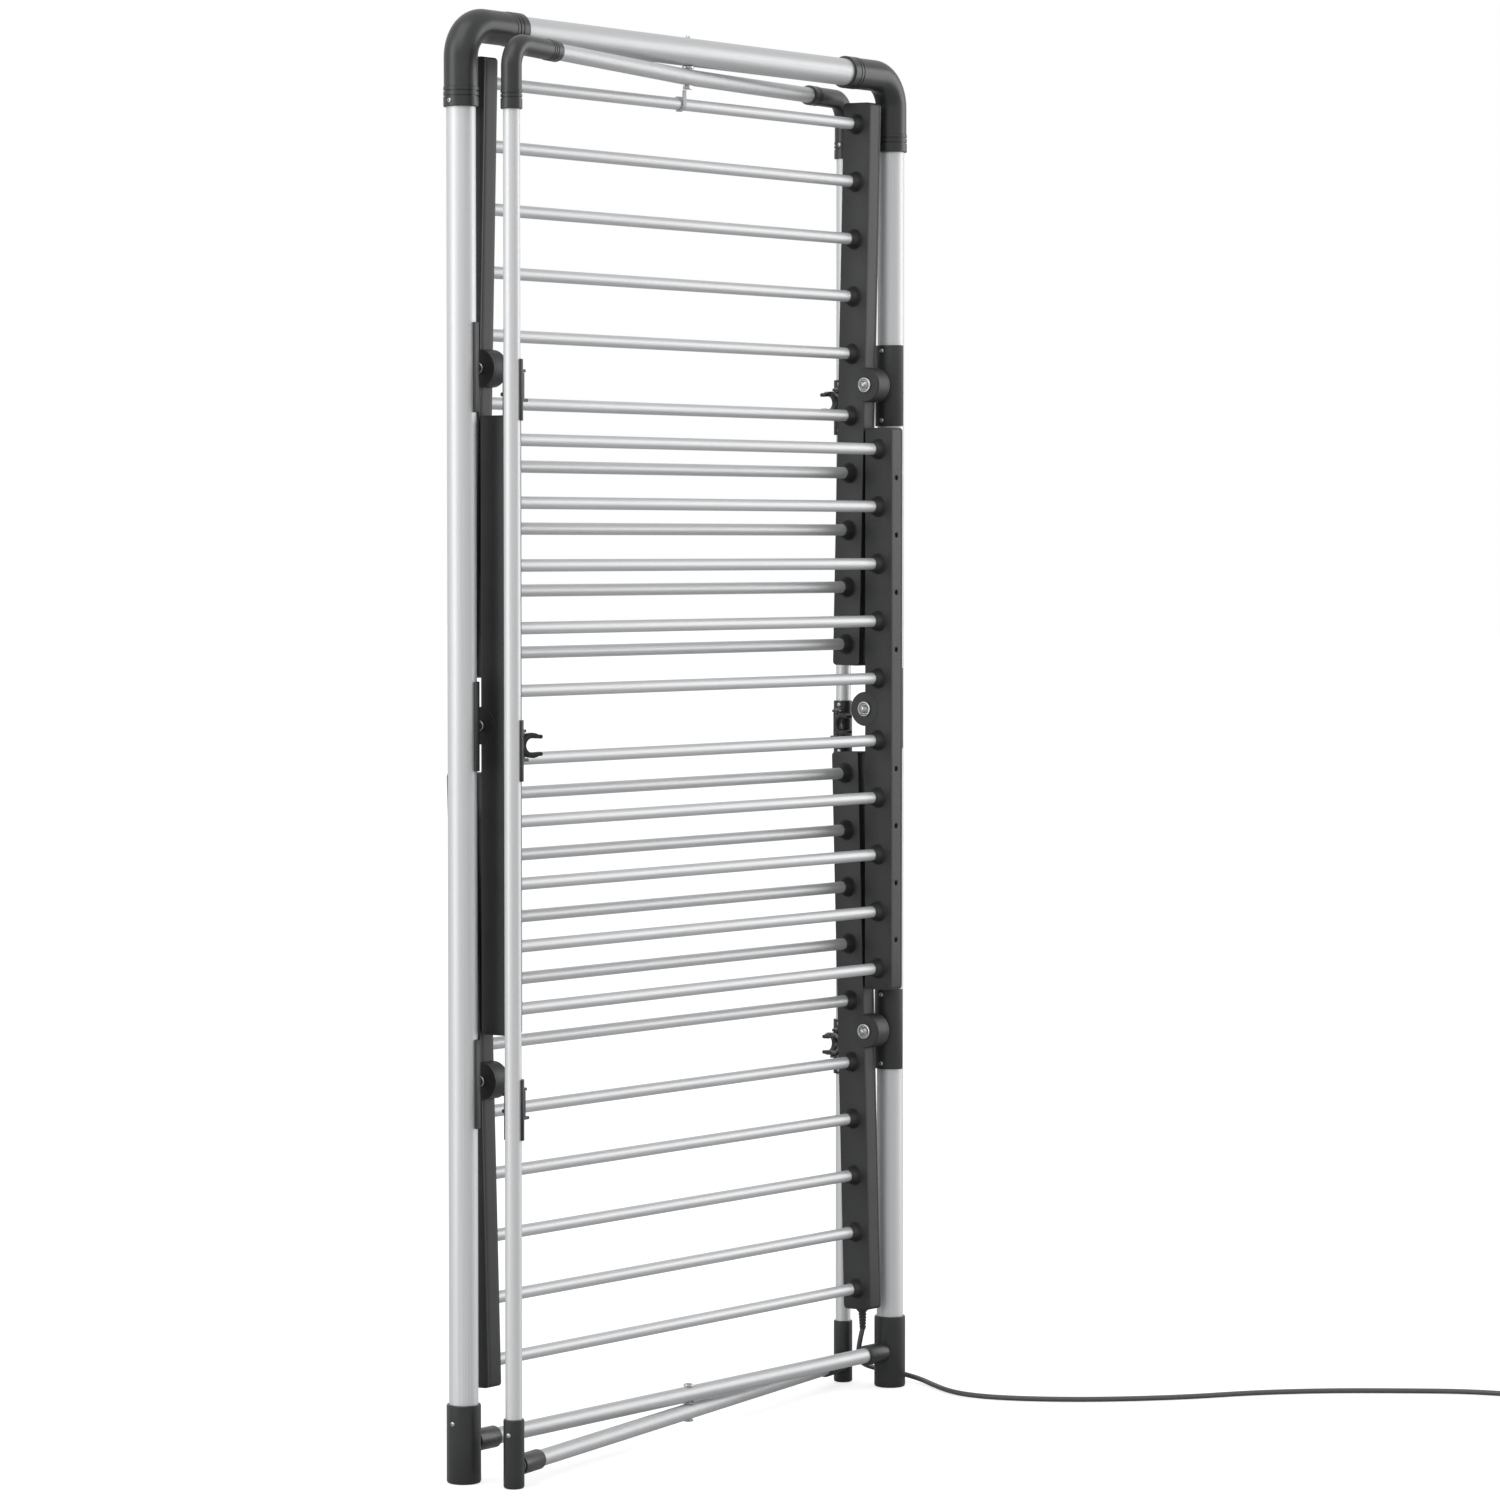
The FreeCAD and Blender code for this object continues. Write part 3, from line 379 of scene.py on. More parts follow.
def pan_head_screw(bm, seat, outward):
    lathe(bm, [(0, 0.3), (0.75, 0.3), (0.95, 1.3), (1.6, 1.2), (2.2, 0.7), (2.4, 0.05), (2.4, 0),
               (1.5, -0.02), (1.5, -4.2), (0, -5.0)], seat, outward, 20)


FOOT_SCREW_DROP, CORNER_SCREW_RISE, BRACKET_SCREW_INSET = 17.5, 5.2, 6.0
zinc = plated_steel("zinc_plated_steel")
bm = bmesh.new()
for way in (-1, 1):
    for z_screw, radius in ((FOOT_TALL - FOOT_SCREW_DROP, FOOT_RADIUS),
                            (TOP_BAR_Z - CORNER_DROP + CORNER_SCREW_RISE,
                             CORNER_RADIUS + BAND_RISE)):
        pan_head_screw(bm, X * way * (POST_X + radius) + Z * z_screw, X * way)
    for level in LEVELS:
        for step in (-1, 1):
            z_screw = PIVOT_Z[level] + step * (BRACKET_TALL / 2 - BRACKET_SCREW_INSET)
            pan_head_screw(bm, X * way * (POST_X - POST_RADIUS - BRACKET_WALL) + Z * z_screw,
                           X * -way)
make_piece(bm, "frame_screws_thick", [zinc], "outer_frame", ["outer_screws"])

# ------------------------------------------------------------------ shelf pivot pins
# Each shelf turns on two riveted steel pins. A pin shows as a bright dome in a dished washer
# inside the rail, and as a flanged steel bush in the gap between the rail and the bracket.
PIN_RADIUS = 4.0
RAIL_X = 304.0
RAIL_WIDTH = 20.0
SIDE_GAP = 0.4
WASHER = 1.5
washer_x = RAIL_X - SIDE_GAP - WASHER
bush_x = RAIL_X + RAIL_WIDTH + SIDE_GAP
pin_long = POST_X - 8 - washer_x
for level in LEVELS:
    bm = bmesh.new()
    for way in (-1, 1):
        out = X * way
        low = out * washer_x + Z * PIVOT_Z[level]
        lathe(bm, [(0, -3.1), (1.6, -2.9), (3.2, -1.9), (4.3, -0.7), (4.8, 0.4), (PIN_RADIUS, 0.5),
                   (PIN_RADIUS, pin_long), (0, pin_long)], low, out, 32)
        lathe(bm, [(4.1, 1.1), (5.5, 1.1), (6.0, 0.3), (6.5, -0.1), (7.4, -0.1), (7.8, 0.1),
                   (8, 0.5), (8, 1.5), (4.1, 1.5), (4.1, 1.1)], low, out)
        long = BRACKET_FACE_X - bush_x
        lathe(bm, [(4.1, 0), (5, 0), (5, 1.8), (4.5, 2.4), (4.5, long - 2.4), (5, long - 1.8),
                   (5, long), (4.1, long), (4.1, 0)], out * bush_x + Z * PIVOT_Z[level], out, 32)
    make_piece(bm, "shelf_pins_" + level, [zinc], "outer_frame", ["pivot_pins_" + level])

# ------------------------------------------------------------------ pins that join the frames
# Two upright steel pins on the centre line hold the thin frame under the thick one and let it
# turn. The upper one ends above the bar as a split tip; the lower one has a low domed head.
TOP_SPACER, LOW_SPACER = 3.0, 1.5
TOP_NUT, LOW_NUT = 3.8, 1.8
NUT_GAP = 0.2
THIN_RADIUS = 8.0
THIN_TOP_Z = TOP_BAR_Z - POST_RADIUS - TOP_SPACER - THIN_RADIUS
THIN_LOW_Z = LOW_BAR_Z - LOW_BAR_RADIUS - LOW_SPACER - THIN_RADIUS
top_nut_z = THIN_TOP_Z - THIN_RADIUS - NUT_GAP - TOP_NUT
low_nut_z = THIN_LOW_Z - THIN_RADIUS - NUT_GAP - LOW_NUT
bm = bmesh.new()
long = HEIGHT + 0.6 - top_nut_z
lathe(bm, [(0, 0), (2.6, 0), (3, 0.4), (3, long - 0.4), (2.6, long), (0, long)],
      Z * top_nut_z, Z, 32)
for way in (-1, 1):
    lathe(bm, [(0, 0), (0.9, 0), (0.9, 2.0), (0.6, 2.4), (0, 2.4)], X * way * 2 + Z * HEIGHT, Z, 16)
lathe(bm, [(3.1, 0.2), (5.6, 0.2), (6, 0.6), (6, 2.6), (5.6, 3), (3.1, 3), (3.1, 0.2)],
      Z * (TOP_BAR_Z - POST_RADIUS - TOP_SPACER), Z, 32)
lathe(bm, [(3.1, 0), (4.6, 0), (5, 0.4), (5, TOP_NUT - 0.4), (4.6, TOP_NUT), (3.1, TOP_NUT),
           (3.1, 0)], Z * top_nut_z, Z, 6)
head = LOW_BAR_Z + LOW_BAR_RADIUS - low_nut_z
lathe(bm, [(0, 0), (3, 0), (3, head), (4.4, head), (5, head + 0.5), (4.6, head + 2),
           (2.6, head + 3), (0, head + 3)], Z * low_nut_z, Z, 32)
lathe(bm, [(3.1, NUT_GAP), (6.5, NUT_GAP), (6.5, LOW_SPACER), (3.1, LOW_SPACER), (3.1, NUT_GAP)],
      Z * (LOW_BAR_Z - LOW_BAR_RADIUS - LOW_SPACER), Z, 32)
lathe(bm, [(3.1, 0), (5, 0), (5, LOW_NUT), (3.1, LOW_NUT), (3.1, 0)], Z * low_nut_z, Z, 6)
make_piece(bm, "frame_pins", [zinc], "outer_frame", ["frame_pivot_pins"])

# ------------------------------------------------------------------ inner frame tubes
# The thin frame is the same coated tube, 16 mm across. It crosses the thick frame at a small
# angle when folded, and its top bar dips in the middle to pass under the thick one.
THIN_X = 350.0
BAR_RISE = 4.0
FOLD = 9.4
FOLDED = {"left": Matrix.Rotation(math.radians(FOLD + 180), 4, "Z"),
          "right": Matrix.Rotation(math.radians(FOLD), 4, "Z")}
slope = math.atan(BAR_RISE / THIN_X)
thin_corner = X * THIN_X + Z * (THIN_TOP_Z + BAR_RISE)
THIN_POST_LOW = 10.5
THIN_BAR_HALF, THIN_LOW_HALF = THIN_X - 30.0, THIN_X - 8.8
thin_post_long = thin_corner.z - 28.0 - THIN_POST_LOW
for side in SIDES:
    bm = bmesh.new()
    tube(bm, X * THIN_X + Z * THIN_POST_LOW, Z, thin_post_long, THIN_RADIUS, TUBE_WALL)
    make_piece(bm, "thin_post_" + side, [coat_upright], "inner_frame",
               ["inner_post_" + side], FOLDED[side])
bm = bmesh.new()
for way in (-1, 1):
    tube(bm, Z * THIN_TOP_Z, Vector((way * math.cos(slope), 0, math.sin(slope))),
         THIN_BAR_HALF / math.cos(slope), THIN_RADIUS, TUBE_WALL)
make_piece(bm, "thin_top_bar", [coat_level_painted_shade], "inner_frame", ["inner_top_bar"],
           FOLDED["right"])
bm = bmesh.new()
tube(bm, Z * THIN_LOW_Z - X * THIN_LOW_HALF, X, 2 * THIN_LOW_HALF, THIN_RADIUS, TUBE_WALL)
make_piece(bm, "thin_low_bar", [coat_level_painted_shade], "inner_frame", ["inner_bottom_bar"],
           FOLDED["right"])

# ------------------------------------------------------------------ inner frame corners and feet
# Smaller mouldings of the same design: a tighter bend and shorter bands, and plain sockets at
# the floor with a side socket for the thin bottom bar.
THIN_DROP, THIN_REACH, THIN_CORNER_RADIUS = 62.0, 84.0, 9.8
THIN_BEND, THIN_BANDS = 22.0, (9.9, 6.8)
THIN_FOOT_RADIUS, THIN_FOOT_TALL, THIN_FOOT_SOLE = 10.0, 66.0, 10.0
THIN_STUB_RADIUS = 9.8
thin_bore = THIN_RADIUS + SOCKET_GAP
for side in SIDES:
    bm = bmesh.new()
    corner_socket(bm, thin_corner, slope, THIN_DROP, THIN_REACH, THIN_CORNER_RADIUS, thin_bore,
                  THIN_BEND, THIN_BANDS, 48)
    make_piece(bm, "thin_corner_" + side, [corner_grey], "inner_frame",
               ["inner_elbow_" + side], FOLDED[side])
    bm = bmesh.new()
    foot_socket(bm, THIN_X, THIN_LOW_Z, THIN_FOOT_RADIUS, THIN_FOOT_TALL, THIN_FOOT_SOLE,
                thin_bore, THIN_STUB_RADIUS, thin_bore, STUB_LENGTH)
    make_piece(bm, "thin_foot_" + side, [corner_grey], "inner_frame",
               ["inner_foot_" + side], FOLDED[side])


# ------------------------------------------------------------------ clip saddles
# A saddle is a half shell screwed to the inward side of a thin post. An ear above and a longer
# ledge below hold the swivel pin of a rung clip. Moulded in black glass-filled nylon.
def block(bm, low, high, soft, along=None, segments=3, skin=0):
    """A box with rounded edges, or with only the edges along one direction rounded."""
    before = set(bm.faces)
    middle, size = (low + high) / 2, high - low
    grown = bmesh.ops.create_cube(bm, matrix=Matrix.Translation(middle) @
                                  Matrix.Diagonal((size.x, size.y, size.z, 1)))["verts"]
    edges = {e for v in grown for e in v.link_edges}
    if along is not None:
        edges = {e for e in edges
                 if abs((e.verts[0].co - e.verts[1].co).normalized().dot(along)) > 0.9}
    bmesh.ops.bevel(bm, geom=list(edges), offset=soft, offset_type="OFFSET", segments=segments,
                    profile=0.5, affect="EDGES", material=-1)
    for face in bm.faces:
        if face not in before:
            face.material_index = skin


SADDLE_TALL, SADDLE_WALL, SADDLE_DROP = 58.0, 2.5, 22.0
CLIP_DROP = 17.5
SWIVEL_REACH = 15.5
EAR_Z, EAR_THICK, EAR_HALF = 12.3, 3.0, 4.0
UPPER_EAR, LOWER_EAR = 19.5, 24.0
clip_black = moulded_plastic("nylon_clip_black", "#151515", "#1b1b1b", 0.9, 0.0001, (0.3, 0.42))
for level in LEVELS:
    for side in SIDES:
        z_clip = PIVOT_Z[level] - CLIP_DROP
        z_low = PIVOT_Z[level] - SADDLE_DROP - SADDLE_TALL / 2
        bm = bmesh.new()
        half_shell(bm, THIN_X, z_low, SADDLE_TALL, thin_bore, THIN_RADIUS + SADDLE_WALL)
        soften(bm, 0.5)
        for z_ear, tip in ((z_clip + EAR_Z, UPPER_EAR), (z_clip - EAR_Z - EAR_THICK, LOWER_EAR)):
            block(bm, Vector((THIN_X - tip, -EAR_HALF, z_ear)),
                  Vector((THIN_X - 8.9, EAR_HALF, z_ear + EAR_THICK)), 0.7)
        make_piece(bm, f"clip_saddle_shell_{level}_{side}", [clip_black],
                   "inner_frame", [f"clip_saddle_{level}_{side}"], FOLDED[side])

# ------------------------------------------------------------------ screws of the inner frame
# The same plated screws: one in each corner and foot and two in each saddle, with a longer
# plated pin through each clip.
THIN_FOOT_SCREW_DROP, THIN_CORNER_SCREW_RISE, SADDLE_SCREW_INSET = 14.5, 14.5, 4.5
bm = bmesh.new()
for side in SIDES:
    drawn = bmesh.new()
    pan_head_screw(drawn, X * (THIN_X + THIN_FOOT_RADIUS)
                   + Z * (THIN_FOOT_TALL - THIN_FOOT_SCREW_DROP), X)
    pan_head_screw(drawn, X * (THIN_X - THIN_CORNER_RADIUS - BAND_RISE)
                   + Z * (thin_corner.z - THIN_DROP + THIN_CORNER_SCREW_RISE), -X)
    for level in LEVELS:
        z_clip = PIVOT_Z[level] - CLIP_DROP
        pin_half = EAR_Z + EAR_THICK + 0.6
        lathe(drawn, [(0, -0.1), (1.6, 0), (2, 0.3), (2, 2 * pin_half - 0.3),
                      (1.6, 2 * pin_half), (0, 2 * pin_half + 0.1)],
              Vector((THIN_X - SWIVEL_REACH, 0, z_clip - pin_half)), Z, 20)
        for step in (-1, 1):
            up = PIVOT_Z[level] - SADDLE_DROP + step * (SADDLE_TALL / 2 - SADDLE_SCREW_INSET)
            pan_head_screw(drawn, Vector((THIN_X - THIN_RADIUS - SADDLE_WALL, 0, up)), -X)
    bmesh.ops.transform(drawn, matrix=FOLDED[side], verts=drawn.verts)
    kept = bpy.data.meshes.new("drawn")
    drawn.to_mesh(kept)
    drawn.free()
    bm.from_mesh(kept)
    bpy.data.meshes.remove(kept)
make_piece(bm, "frame_screws_thin", [zinc], "inner_frame", ["inner_screws"])

# ------------------------------------------------------------------ rung clips
# C-shaped clips that take a shelf's end rung when it is down, each free to swivel on its pin.
# The mouth has a bead at each tip that the rung snaps past. Black glass-filled nylon.
CLIP_OUTER, CLIP_BORE, CLIP_MOUTH, CLIP_WIDTH = 12.0, 7.0, 13.0, 8.0
CLIP_OFFSET = 11.0
BEAD_RADIUS, BEAD_X, BEAD_Z = 2.0, -8.6, 8.2
CLIP_TURN = {"upper_left": 80.0, "middle_left": -33.0, "lower_left": 80.0,
             "upper_right": -20.0, "middle_right": 64.0, "lower_right": -9.0}
for level in LEVELS:
    for side in SIDES:
        bm = bmesh.new()
        rim = [bm.verts.new((r, -CLIP_WIDTH / 2, 0)) for r in (CLIP_BORE, CLIP_OUTER)]
        bmesh.ops.spin(bm, geom=rim + [bm.edges.new(rim)], cent=(0, -CLIP_WIDTH / 2, 0), axis=Y,
                       angle=math.tau, steps=48, use_merge=True)
        for step in (-1, 1):
            bmesh.ops.bisect_plane(bm, geom=bm.verts[:] + bm.edges[:] + bm.faces[:], dist=1e-4,
                                   plane_co=Z * step * CLIP_MOUTH / 2, plane_no=Z)
        gap = [f for f in bm.faces if f.calc_center_median().x < 0
               and abs(f.calc_center_median().z) < CLIP_MOUTH / 2]
        bmesh.ops.delete(bm, geom=gap, context="FACES")
        grown = bmesh.ops.extrude_face_region(bm, geom=bm.faces[:])["geom"]
        bmesh.ops.translate(bm, vec=Y * CLIP_WIDTH,
                            verts=[g for g in grown if isinstance(g, bmesh.types.BMVert)])
        bmesh.ops.recalc_face_normals(bm, faces=bm.faces)
        soften(bm, 0.5)
        for step in (-1, 1):
            lathe(bm, [(0, 0), (1.6, 0), (BEAD_RADIUS, 0.4), (BEAD_RADIUS, CLIP_WIDTH - 0.4),
                       (1.6, CLIP_WIDTH), (0, CLIP_WIDTH)],
                  Vector((BEAD_X, -CLIP_WIDTH / 2, step * BEAD_Z)), Y, 20)
        lathe(bm, [(2.1, -12), (3.5, -12), (4, -11.5), (4, 11.5), (3.5, 12), (2.1, 12),
                   (2.1, -12)], X * CLIP_OFFSET, Z, 32)
        pin = THIN_X - SWIVEL_REACH
        place = (FOLDED[side] @ Matrix.Translation(X * pin)
                 @ Matrix.Rotation(math.radians(CLIP_TURN[f"{level}_{side}"]), 4, "Z")
                 @ Matrix.Translation(Z * (PIVOT_Z[level] - CLIP_DROP) - X * CLIP_OFFSET))
        make_piece(bm, f"clip_{level}_{side}_hook", [clip_black],
                   f"clip_{level}_{side}", [f"rung_clip_{level}_{side}"], place)

# ------------------------------------------------------------------ heated rungs
# Ten thin aluminium tubes to a shelf, coated like the frame's bars but a touch paler, with a wider
# gap in the middle. A heating wire is sealed inside them and runs from rung to rung in the rails.
LEAN = {"upper": 1.35, "middle": 0.0, "lower": -1.6}
RUNG_PLANE = {"upper": 17.5, "middle": -17.5, "lower": 17.5}
RUNG_RADIUS, RUNG_WALL = 6.0, 0.8
RUNG_PITCH, MIDDLE_GAP = 60.0, 65.0
RUNG_OFFSETS = [way * (MIDDLE_GAP / 2 + step * RUNG_PITCH) for step in range(5) for way in (-1, 1)]
SET_UP = {level: Matrix.Translation(Z * PIVOT_Z[level])
          @ Matrix.Rotation(math.radians(LEAN[level]), 4, "X") for level in LEVELS}
RAIL_WALL = 3.0
rung_end = RAIL_X + RAIL_WALL
coat_rung = silver_powder_coat("aluminium_rung", "X", ("#bcbdbe", "#c6c7c8"), 1.1, (0.8, 180.0))
wire_skin = moulded_plastic("silicone_heating_wire", "#7a2c22", "#8a3528", 0.8)
for level in LEVELS:
    bm = bmesh.new()
    for offset in RUNG_OFFSETS:
        tube(bm, Vector((-rung_end, RUNG_PLANE[level], offset)), X, 2 * rung_end, RUNG_RADIUS,
             RUNG_WALL, 40)
    make_piece(bm, "heated_rungs_" + level, [coat_rung], level + "_shelf",
               ["rungs_" + level], SET_UP[level])
    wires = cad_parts["heating_wires_" + level]
    wires.data.materials.clear()
    wires.data.materials.append(wire_skin)

# ------------------------------------------------------------------ rails
# Box mouldings with a lid on the outer side, which close the ends of the rungs and hold the wire.
# A tapered collar stands off round each rung, a round lug sits on the pivot, and blind screw
# holes are sunk between the rungs.
RAIL_HALF = 295.0
RAIL_DEPTH = 34.0
COVER = 2.5
COLLAR = 12.0
HOLE_RADIUS, HOLE_DEPTH = 2.7, 2.4
HOLE_OFFSETS = [way * (62.5 + step * RUNG_PITCH) for step in range(4) for way in (-1, 1)]


def sink_hole(bm, centre, outward, radius, depth):
    """A round blind hole: a square is marked out on the flat face, rounded and pushed in."""
    for way in (X, Z):
        for step in (-1, 1):
            bmesh.ops.bisect_plane(bm, geom=bm.verts[:] + bm.edges[:] + bm.faces[:], dist=1e-4,
                                   plane_co=centre + way * step * 1.6 * radius, plane_no=way)

    def square():
        facing = [f for f in bm.faces if f.normal.dot(outward) > 0.99]
        return min(facing, key=lambda f: (f.calc_center_median() - centre).length)

    bmesh.ops.subdivide_edges(bm, edges=square().edges[:], cuts=4)
    bmesh.ops.inset_individual(bm, faces=[square()], thickness=0.35 * radius)
    middle = square()
    for corner in middle.verts:
        corner.co = centre + (corner.co - centre).normalized() * radius
    pushed = bmesh.ops.extrude_discrete_faces(bm, faces=[middle])["faces"][0]
    bmesh.ops.translate(bm, verts=pushed.verts[:], vec=outward * -depth)


rail_grey = moulded_plastic("polypropylene_rail", "#1c1d1d", "#222323", 1.3, 0.00015)
# The lids are the rail boxes' moulding painted a shade lighter, as painted light from the side on
# the outer faces.
cover_grey_painted_light = moulded_plastic("polypropylene_rail_cover_painted_light", "#252626", "#2b2c2c", 1.3, 0.00015)
for level in LEVELS:
    plane = RUNG_PLANE[level]
    away = Y if plane > 0 else -Y
    face_x = RAIL_X + RAIL_WIDTH - COVER
    for side in SIDES:
        bm = bmesh.new()
        block(bm, Vector((RAIL_X, plane - RAIL_DEPTH / 2, -RAIL_HALF)),
              Vector((face_x, plane + RAIL_DEPTH / 2, RAIL_HALF)), 4.0, X, 5)
        bmesh.ops.recalc_face_normals(bm, faces=bm.faces)
        for offset in HOLE_OFFSETS:
            hole = Vector(((RAIL_X + face_x) / 2, plane, offset)) + away * RAIL_DEPTH / 2
            sink_hole(bm, hole, away, HOLE_RADIUS, HOLE_DEPTH)
        soften(bm, 0.45)
        lathe(bm, [(4.1, -0.2), (17.1, -0.2), (18, 0.7), (18, face_x - RAIL_X - 0.3),
                   (17.7, face_x - RAIL_X), (4.1, face_x - RAIL_X), (4.1, -0.2)], X * RAIL_X, X, 64)
        for offset in RUNG_OFFSETS:
            lathe(bm, [(6.1, COLLAR - 0.5), (6.5, COLLAR), (7.0, COLLAR - 0.2), (7.8, COLLAR - 2),
                       (8.9, COLLAR - 6), (9.6, 3), (10.2, 0.8), (11, 0), (11, -1), (6.1, -1),
                       (6.1, COLLAR - 0.5)], Vector((RAIL_X, plane, offset)), -X, 32)
        make_piece(bm, f"rail_shell_{level}_{side}", [rail_grey],
                   level + "_shelf", [f"rail_{level}_{side}"], SET_UP[level] @ MIRRORED[side])
    bm = bmesh.new()
    for way in (-1, 1):
        near, far = sorted((way * face_x, way * (face_x + COVER)))
        block(bm, Vector((near, plane - RAIL_DEPTH / 2, -RAIL_HALF)),
              Vector((far, plane + RAIL_DEPTH / 2, RAIL_HALF)), 4.0, X, 5)
    soften(bm, 0.4)
    for way in (-1, 1):
        proud = COVER + 0.2
        lathe(bm, [(4.1, 0), (17.7, 0), (18, 0.3), (18, proud - 0.5), (17.5, proud), (4.1, proud),
                   (4.1, 0)], X * way * face_x, X * way, 64)
    make_piece(bm, "rail_lids_" + level, [cover_grey_painted_light], level + "_shelf",
               ["rail_covers_" + level], SET_UP[level])

# ------------------------------------------------------------------ storage hook
# A small clip of pale grey nylon on the top rung that stands up behind the top pivot and keeps
# the folded shelf from swinging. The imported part's own shape is right, and only its look is set.
hook_grey = moulded_plastic("nylon_hook_grey", "#9b9c9d", "#a7a8a9", 0.9, 0.00008, (0.3, 0.4))
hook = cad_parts["storage_hook"]
hook.data.materials.clear()
hook.data.materials.append(hook_grey)

# ------------------------------------------------------------------ strain relief
# A soft rubber sleeve pressed into the end of the right lower rail. It tapers along the lead,
# with moulded ribs that let it bend evenly.
gland_top = Vector((RAIL_X + (RAIL_WIDTH - COVER) / 2 + 1.0, RUNG_PLANE["lower"], -RAIL_HALF))
GLAND_LONG = 22.0
rubber = moulded_plastic("rubber_relief", "#1f1f20", "#262627", 1.0, 0.00008, (0.55, 0.68))
outline = [(0, -1), (5.6, -1), (6.1, -0.5), (6.1, 2.0), (5.6, 2.5), (4.6, 2.5)]
for rib in range(5):
    start = 4.2 + rib * 3.2
    wide = 4.6 - (start / GLAND_LONG) * 1.3
    outline += [(wide, start), (wide - 0.7, start + 0.3), (wide - 0.7, start + 1.0),
                (wide - 0.1, start + 1.3)]
outline += [(3.2, GLAND_LONG - 0.3), (2.9, GLAND_LONG), (0, GLAND_LONG)]
bm = bmesh.new()
lathe(bm, outline, gland_top, -Z, 32)
make_piece(bm, "cord_relief", [rubber], "lower_shelf", ["cord_gland"],
           SET_UP["lower"])

# ------------------------------------------------------------------ mains lead and plug
# A round grey PVC lead, 5.4 mm across. It drops from the lower rail, passes behind the thick foot
# and runs off along the floor; what is left over is wound into a small coil by its plug, a
# three-pin one of no particular make.
CORD_RADIUS = 2.7
CORD_Z = 2.9
COIL_X, COIL_Y = 722.0, -655.0
WIDE_TURN, TIGHT_TURN = 32.2, 26.8
UPPER_Z = CORD_Z + 2 * CORD_RADIUS
PLUG_X, PLUG_Y = COIL_X + 34.0, COIL_Y + 84.0
cord_line = [
    (313.75, 8.58, 66.0), (317.5, 18, 42), (338, 30, 24), (362, 29, 15), (384, 14, 9),
    (388, -12, 4.5), (371, -42, CORD_Z), (352, -71, CORD_Z), (341, -98, CORD_Z),
    (340, -124, CORD_Z), (346, -150, CORD_Z), (362, -184, CORD_Z), (385, -219, CORD_Z),
    (417, -256, CORD_Z), (468, -302, CORD_Z), (532, -342, CORD_Z), (588, -396, CORD_Z),
    (634, -458, CORD_Z), (676, -522, CORD_Z), (COIL_X - 33.0, -588, CORD_Z),
]


def ease(value, start, end):
    """Nought before start, one after end and a smooth step between."""
    part = min(max((value - start) / (end - start), 0.0), 1.0)
    return part * part * (3 - 2 * part)


for degrees in range(180, 1081, 15):
    turn_radius = (WIDE_TURN - (WIDE_TURN - TIGHT_TURN) * ease(degrees, 440, 510)
                   + (WIDE_TURN - TIGHT_TURN) * ease(degrees, 830, 1000))
    cord_line.append((COIL_X + turn_radius * math.cos(math.radians(degrees)),
                      COIL_Y + turn_radius * math.sin(math.radians(degrees)),
                      CORD_Z + (UPPER_Z - CORD_Z) * ease(degrees, 740, 800)))
cord_line += [(PLUG_X, COIL_Y + 43.0, 5.0), (PLUG_X, PLUG_Y, 12.0)]

drawn_line = bpy.data.curves.new("mains_lead_line", "CURVE")
drawn_line.dimensions = "3D"
drawn_line.resolution_u = 8
run = drawn_line.splines.new("NURBS")
run.points.add(len(cord_line) - 1)
for point, place in zip(run.points, cord_line):
    point.co = (place[0] / 1000, place[1] / 1000, place[2] / 1000, 1.0)
run.order_u = 3
run.use_endpoint_u = True
line_object = bpy.data.objects.new("mains_lead_line", drawn_line)
scene.collection.objects.link(line_object)
bpy.context.view_layer.update()
measured = bpy.data.meshes.new_from_object(line_object)
drawn_line.bevel_depth = CORD_RADIUS / 1000
drawn_line.bevel_resolution = 5
drawn_line.use_fill_caps = True
bpy.context.view_layer.update()
sheath = bpy.data.meshes.new_from_object(
    line_object.evaluated_get(bpy.context.evaluated_depsgraph_get()))
bpy.data.objects.remove(line_object)
bpy.data.meshes.remove(measured)


def pvc(name, dark, light):
    """Extruded PVC: smooth with a dull gloss, and a faint ripple 3 mm long from the die."""
    made, tree = blank_material(name)
    place = add_node(tree, "ShaderNodeTexCoord")
    ripple = add_node(tree, "ShaderNodeTexNoise", values={"Scale": 1000 / 3.0, "Detail": 2.0},
                      links={"Vector": place.outputs["Object"]})
    tone = add_node(tree, "ShaderNodeValToRGB", links={"Fac": ripple.outputs[0]})
    set_stops(tone, (0.3, dark), (0.7, light))
    rough = add_node(tree, "ShaderNodeMapRange", values={"To Min": 0.36, "To Max": 0.48},
                     links={"Value": ripple.outputs[0]})
    bump = add_node(tree, "ShaderNodeBump", values={"Strength": 0.15, "Distance": 0.0001},
                    links={"Height": ripple.outputs[0]})
    shader = add_node(tree, "ShaderNodeBsdfPrincipled", values={"IOR": 1.53},
                      links={"Base Color": tone.outputs[0], "Roughness": rough.outputs[0],
                             "Normal": bump.outputs[0]})
    add_node(tree, "ShaderNodeOutputMaterial", links={"Surface": shader.outputs[0]})
    return made


lead_grey = pvc("pvc_lead_grey", "#4a4b4c", "#525354")
sheath.name = "mains_lead"
sheath.materials.clear()
sheath.materials.append(lead_grey)
sheath.shade_smooth()
lead = bpy.data.objects.new("mains_lead", sheath)
scene.collection.objects.link(lead)
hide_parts("mains_cord", "cord_coil")

